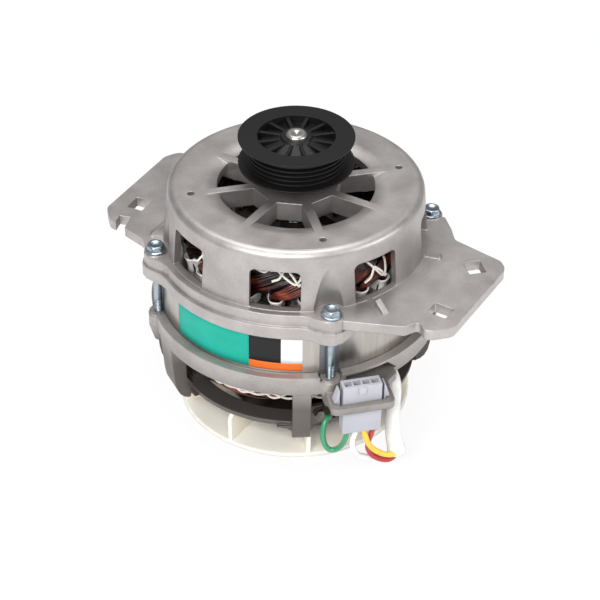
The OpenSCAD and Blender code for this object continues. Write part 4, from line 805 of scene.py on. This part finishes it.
class MOTOR_OT_shaft(Operator):
    """The shaft, turned and ground, with a centre hole in its end"""
    bl_idname = "motor.shaft"
    bl_label = "Shaft"

    def execute(self, context):
        sides = 64
        line = [  # radius and height, from the centre hole down to the fan's end
            (0.2, 24.31), (1.79, 25.86), (1.95, 25.91), (3.9, 25.91), (4.05, 25.87), (4.95, 24.98),
            (5.0, 24.85), (5.0, -2.0), (6.0, -2.6), (6.0, -13.2), (7.5, -13.2), (7.5, -88.8),
            (6.0, -88.8), (6.0, -99.4), (5.0, -100.0), (5.0, -118.0), (4.0, -119.0), (0.01, -119.0)]
        points = np.array([polar(r, np.linspace(0, 360, sides + 1)[:-1], z) for r, z in line])
        steel = turned_steel("ground shaft steel", "#c4c0bb", 0.45, 0.34)
        faces = grid_faces(len(line), sides, False, True)
        made = piece("turned_shaft", points.reshape(-1, 3), faces, [steel], body="rotor")
        split = made.modifiers.new("edges", "EDGE_SPLIT")
        split.split_angle = math.radians(30)
        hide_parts("shaft")
        return {"FINISHED"}


# -------------------- bolts

class MOTOR_OT_bolts(Operator):
    """The four through bolts, with washer faces, chamfered heads and rolled threads"""
    bl_idname = "motor.bolts"
    bl_label = "Through bolts"

    SIDES = 48
    SPINS = (12, 47, -8, 29)  # how far each head is turned, in degrees
    HALF_FLATS, SHANK_R, TIP_R = 3.8, 2.0, 1.2
    THREAD_R, THREAD_DEPTH, PITCH = 2.02, 0.34, 0.9

    def execute(self, context):
        """Rings round one bolt, from its head down: the radius of each, the share of the hexagon that
        it stays within, and its height. The thread's radius falls with the distance from its crest,
        which moves down by a pitch for each turn."""
        zinc = zinc_plate("zinc plated steel", "#98a5ad")
        turn = np.linspace(0, 2 * np.pi, self.SIDES + 1)[:-1]
        degrees = np.degrees(turn)
        near = (turn + np.pi / 6) % (np.pi / 3) - np.pi / 6
        hexagon = self.HALF_FLATS / np.cos(near)
        rings = [(0.0, None, -26.0), (1.7, None, -26.0), (2.1, None, -25.75), (2.7, None, -25.4),
                 (3.6, None, -25.4), (3.95, 1.0, -25.7), (4.3, 1.0, -26.1), (9, 1.0, -27.8),
                 (9, 1.04, -28.0), (4.75, None, -28.05), (4.9, None, -28.2), (4.9, None, -28.8),
                 (4.7, None, -29.0), (2.0, None, -29.0)]
        rows = [polar(np.minimum(r, hexagon * h) if h else np.full(self.SIDES, r), degrees, z)
                for r, h, z in rings]
        rows += [polar(np.full(self.SIDES, self.SHANK_R), degrees, z)
                 for z in np.linspace(-29.1, -56.5, 8)]
        for z in np.arange(-57, -79.0, -self.PITCH / 6):
            phase = (z / self.PITCH + turn / (2 * np.pi)) % 1
            rows.append(polar(self.THREAD_R - self.THREAD_DEPTH * np.abs(2 * phase - 1), degrees, z))
        rows += [polar(np.full(self.SIDES, r), degrees, -79.2) for r in (self.TIP_R, 0.01)]
        one = np.stack(rows)
        faces = grid_faces(len(rows), self.SIDES, False, True)
        verts, quads = [], []
        for k, spin in enumerate(self.SPINS):
            bolt = turned(one, math.radians(spin)) - [0, BOLT_CIRCLE_R, 0]
            verts.append(turned(bolt, math.radians(90 * k)).reshape(-1, 3))
            quads.append(faces + k * len(rows) * self.SIDES)
        made = piece("threaded_through_bolts", np.vstack(verts), np.vstack(quads), [zinc])
        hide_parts("through_bolts")
        return {"FINISHED"}


# -------------------- label

class MOTOR_OT_label(Operator):
    """A bare printed label round the front left of the stator, in plain fields of colour"""
    bl_idname = "motor.label"
    bl_label = "Label"

    FIELDS = [  # name, colour, start and end in degrees, bottom and top in mm
        ("teal", None, -69.5, -32.6, -61.2, -42.2),
        ("charcoal", "#151517", -32.6, -19.5, -57.0, -42.2),
        ("pale", "#dcdce0", -19.5, -10.9, -57.0, -42.2),
        ("orange", "#d4641c", -32.6, -10.9, -61.2, -57.0),
    ]
    FILM_MM = 0.12

    def execute(self, context):
        r = CORE_R + sizes().label_proud
        verts, faces, slots, inks = [], [], [], []
        around, up = 40, 6
        for k, (name, colour, a0, a1, z0, z1) in enumerate(self.FIELDS):
            az, z = np.meshgrid(np.linspace(a0, a1, around), np.linspace(z0, z1, up), indexing="ij")
            verts.append(polar(r, az, z).reshape(-1, 3))
            quads = grid_faces(around, up, start=k * around * up)
            faces.append(quads)
            slots += [k] * len(quads)
            ink = colour or context.scene.motor_colours.label
            inks.append(printed_foil("printed film " + name, ink))
        made = piece("bare_label", np.vstack(verts), np.vstack(faces), inks, face_slots=slots)
        solid = made.modifiers.new("film", "SOLIDIFY")
        solid.thickness, solid.offset = self.FILM_MM * MM, -1
        return {"FINISHED"}


# -------------------- finishes of the CAD nodes

class MOTOR_OT_finishes(Operator):
    """The metals and plastics of the parts that keep their shape"""
    bl_idname = "motor.finishes"
    bl_label = "Finishes"

    def execute(self, context):
        casting = context.scene.motor_colours.casting
        looks = {
            "drive_end_bracket": die_cast_aluminium("die cast aluminium upper", casting, "#9b9694"),
            # The lower bracket is a darker copy of the same aluminium, as painted shade, and its last
            # colour paints shade towards its foot.
            "rear_end_bracket": die_cast_aluminium(
                "die cast aluminium lower in painted shade", "#a8a3a0", "#8e8986", 0.62, "#625c59"),
            "stator_core": ground_sheets("ground electrical steel"),
            # The rotor's sheets and cage are painted dark, as painted shade for the inside of the motor.
            "rotor_core": rolled_sheets("turned rotor sheets in painted shade", 0.8, "#5b5857", "#343231"),
            "core_cleats": turned_steel("rolled steel strip", "#8b8d91", 0.6, 0.4),
            "rotor_cage": die_cast_aluminium("cast rotor aluminium in painted shade", "#5c5653", "#3c3735"),
            "slot_liners": folded_film("slot film"),
            "thermal_protector": moulded("crepe paper wrap", "#d3cdbb", "#b6ae98", 0.8, 0.6, 0.08),
        }
        bearing = {
            "outer_ring": turned_steel("ground bearing steel", "#d2d5d8", 0.2, 0.18),
            "balls": turned_steel("polished balls", "#e6e9ec", 0.3, 0.08),
            "cage": turned_steel("pressed brass cage", "#b9a16a", 0.4, 0.35),
            "shields": turned_steel("pressed steel shield", "#aeb1b5", 0.3, 0.32),
        }
        bearing["inner_ring"] = bearing["outer_ring"]
        for end in ("front", "rear"):
            looks.update({f"{end}_bearing_{part}": material for part, material in bearing.items()})
        looks.update({
            "wave_washer": turned_steel("spring steel", "#8f9296", 0.5, 0.3),
            "fan_clip": turned_steel("spring steel clip", "#7c7f83", 0.5, 0.35),
            "pulley": moulded("black glass filled nylon", "#0c0b0b", "#080808", 0.46, 0.5, 0.03, 0.25,
                              Specular_IOR_Level=0.3),
            "cooling_fan": fan_plastic("cream polypropylene"),
            "connector_housing": moulded("grey nylon", "#a9aab1", "#9b9ca4", 0.42, 0.6, 0.02, 0.25),
            "connector_terminals": turned_steel("tinned brass", "#c9b98a", 0.4, 0.3),
            "earth_ring_terminal": turned_steel("tarnished tinned copper", "#8d857c", 0.4, 0.4),
            # The earth screw's zinc is painted darker than the bolts', as painted shade.
            "earth_screw": zinc_plate("zinc plated screw in painted shade", "#7f7a74"),
        })
        for name, material in looks.items():
            slots = NODES[name].data.materials
            slots.clear()
            slots.append(material)
        return {"FINISHED"}


class MOTOR_PT_panel(Panel):
    """The sizes, the colours and a button for each group"""
    bl_label = "Motor"
    bl_idname = "MOTOR_PT_panel"
    bl_space_type = "VIEW_3D"
    bl_region_type = "UI"
    bl_category = "Motor"

    def draw(self, context):
        layout = self.layout
        for key in MotorSizes.__annotations__:
            layout.prop(context.scene.motor_sizes, key)
        for key in MotorColours.__annotations__:
            layout.prop(context.scene.motor_colours, key)
        for step in STEPS:
            layout.operator(step.bl_idname)


STEPS = (MOTOR_OT_stage, MOTOR_OT_leads, MOTOR_OT_windings, MOTOR_OT_shaft, MOTOR_OT_bolts,
         MOTOR_OT_label, MOTOR_OT_finishes)
CLASSES = (MotorSizes, MotorColours, *STEPS, MOTOR_PT_panel)


def register():
    """Registers the classes and puts the two groups of properties on the scene."""
    for cls in CLASSES:
        bpy.utils.register_class(cls)
    bpy.types.Scene.motor_sizes = PointerProperty(type=MotorSizes)
    bpy.types.Scene.motor_colours = PointerProperty(type=MotorColours)


def unregister():
    """Takes away what register() adds."""
    del bpy.types.Scene.motor_colours
    del bpy.types.Scene.motor_sizes
    for cls in reversed(CLASSES):
        bpy.utils.unregister_class(cls)


def main():
    """Runs every operator in turn."""
    register()
    for step in STEPS:
        group, name = step.bl_idname.split(".")
        getattr(getattr(bpy.ops, group), name)()


if __name__ == "__main__":
    main()
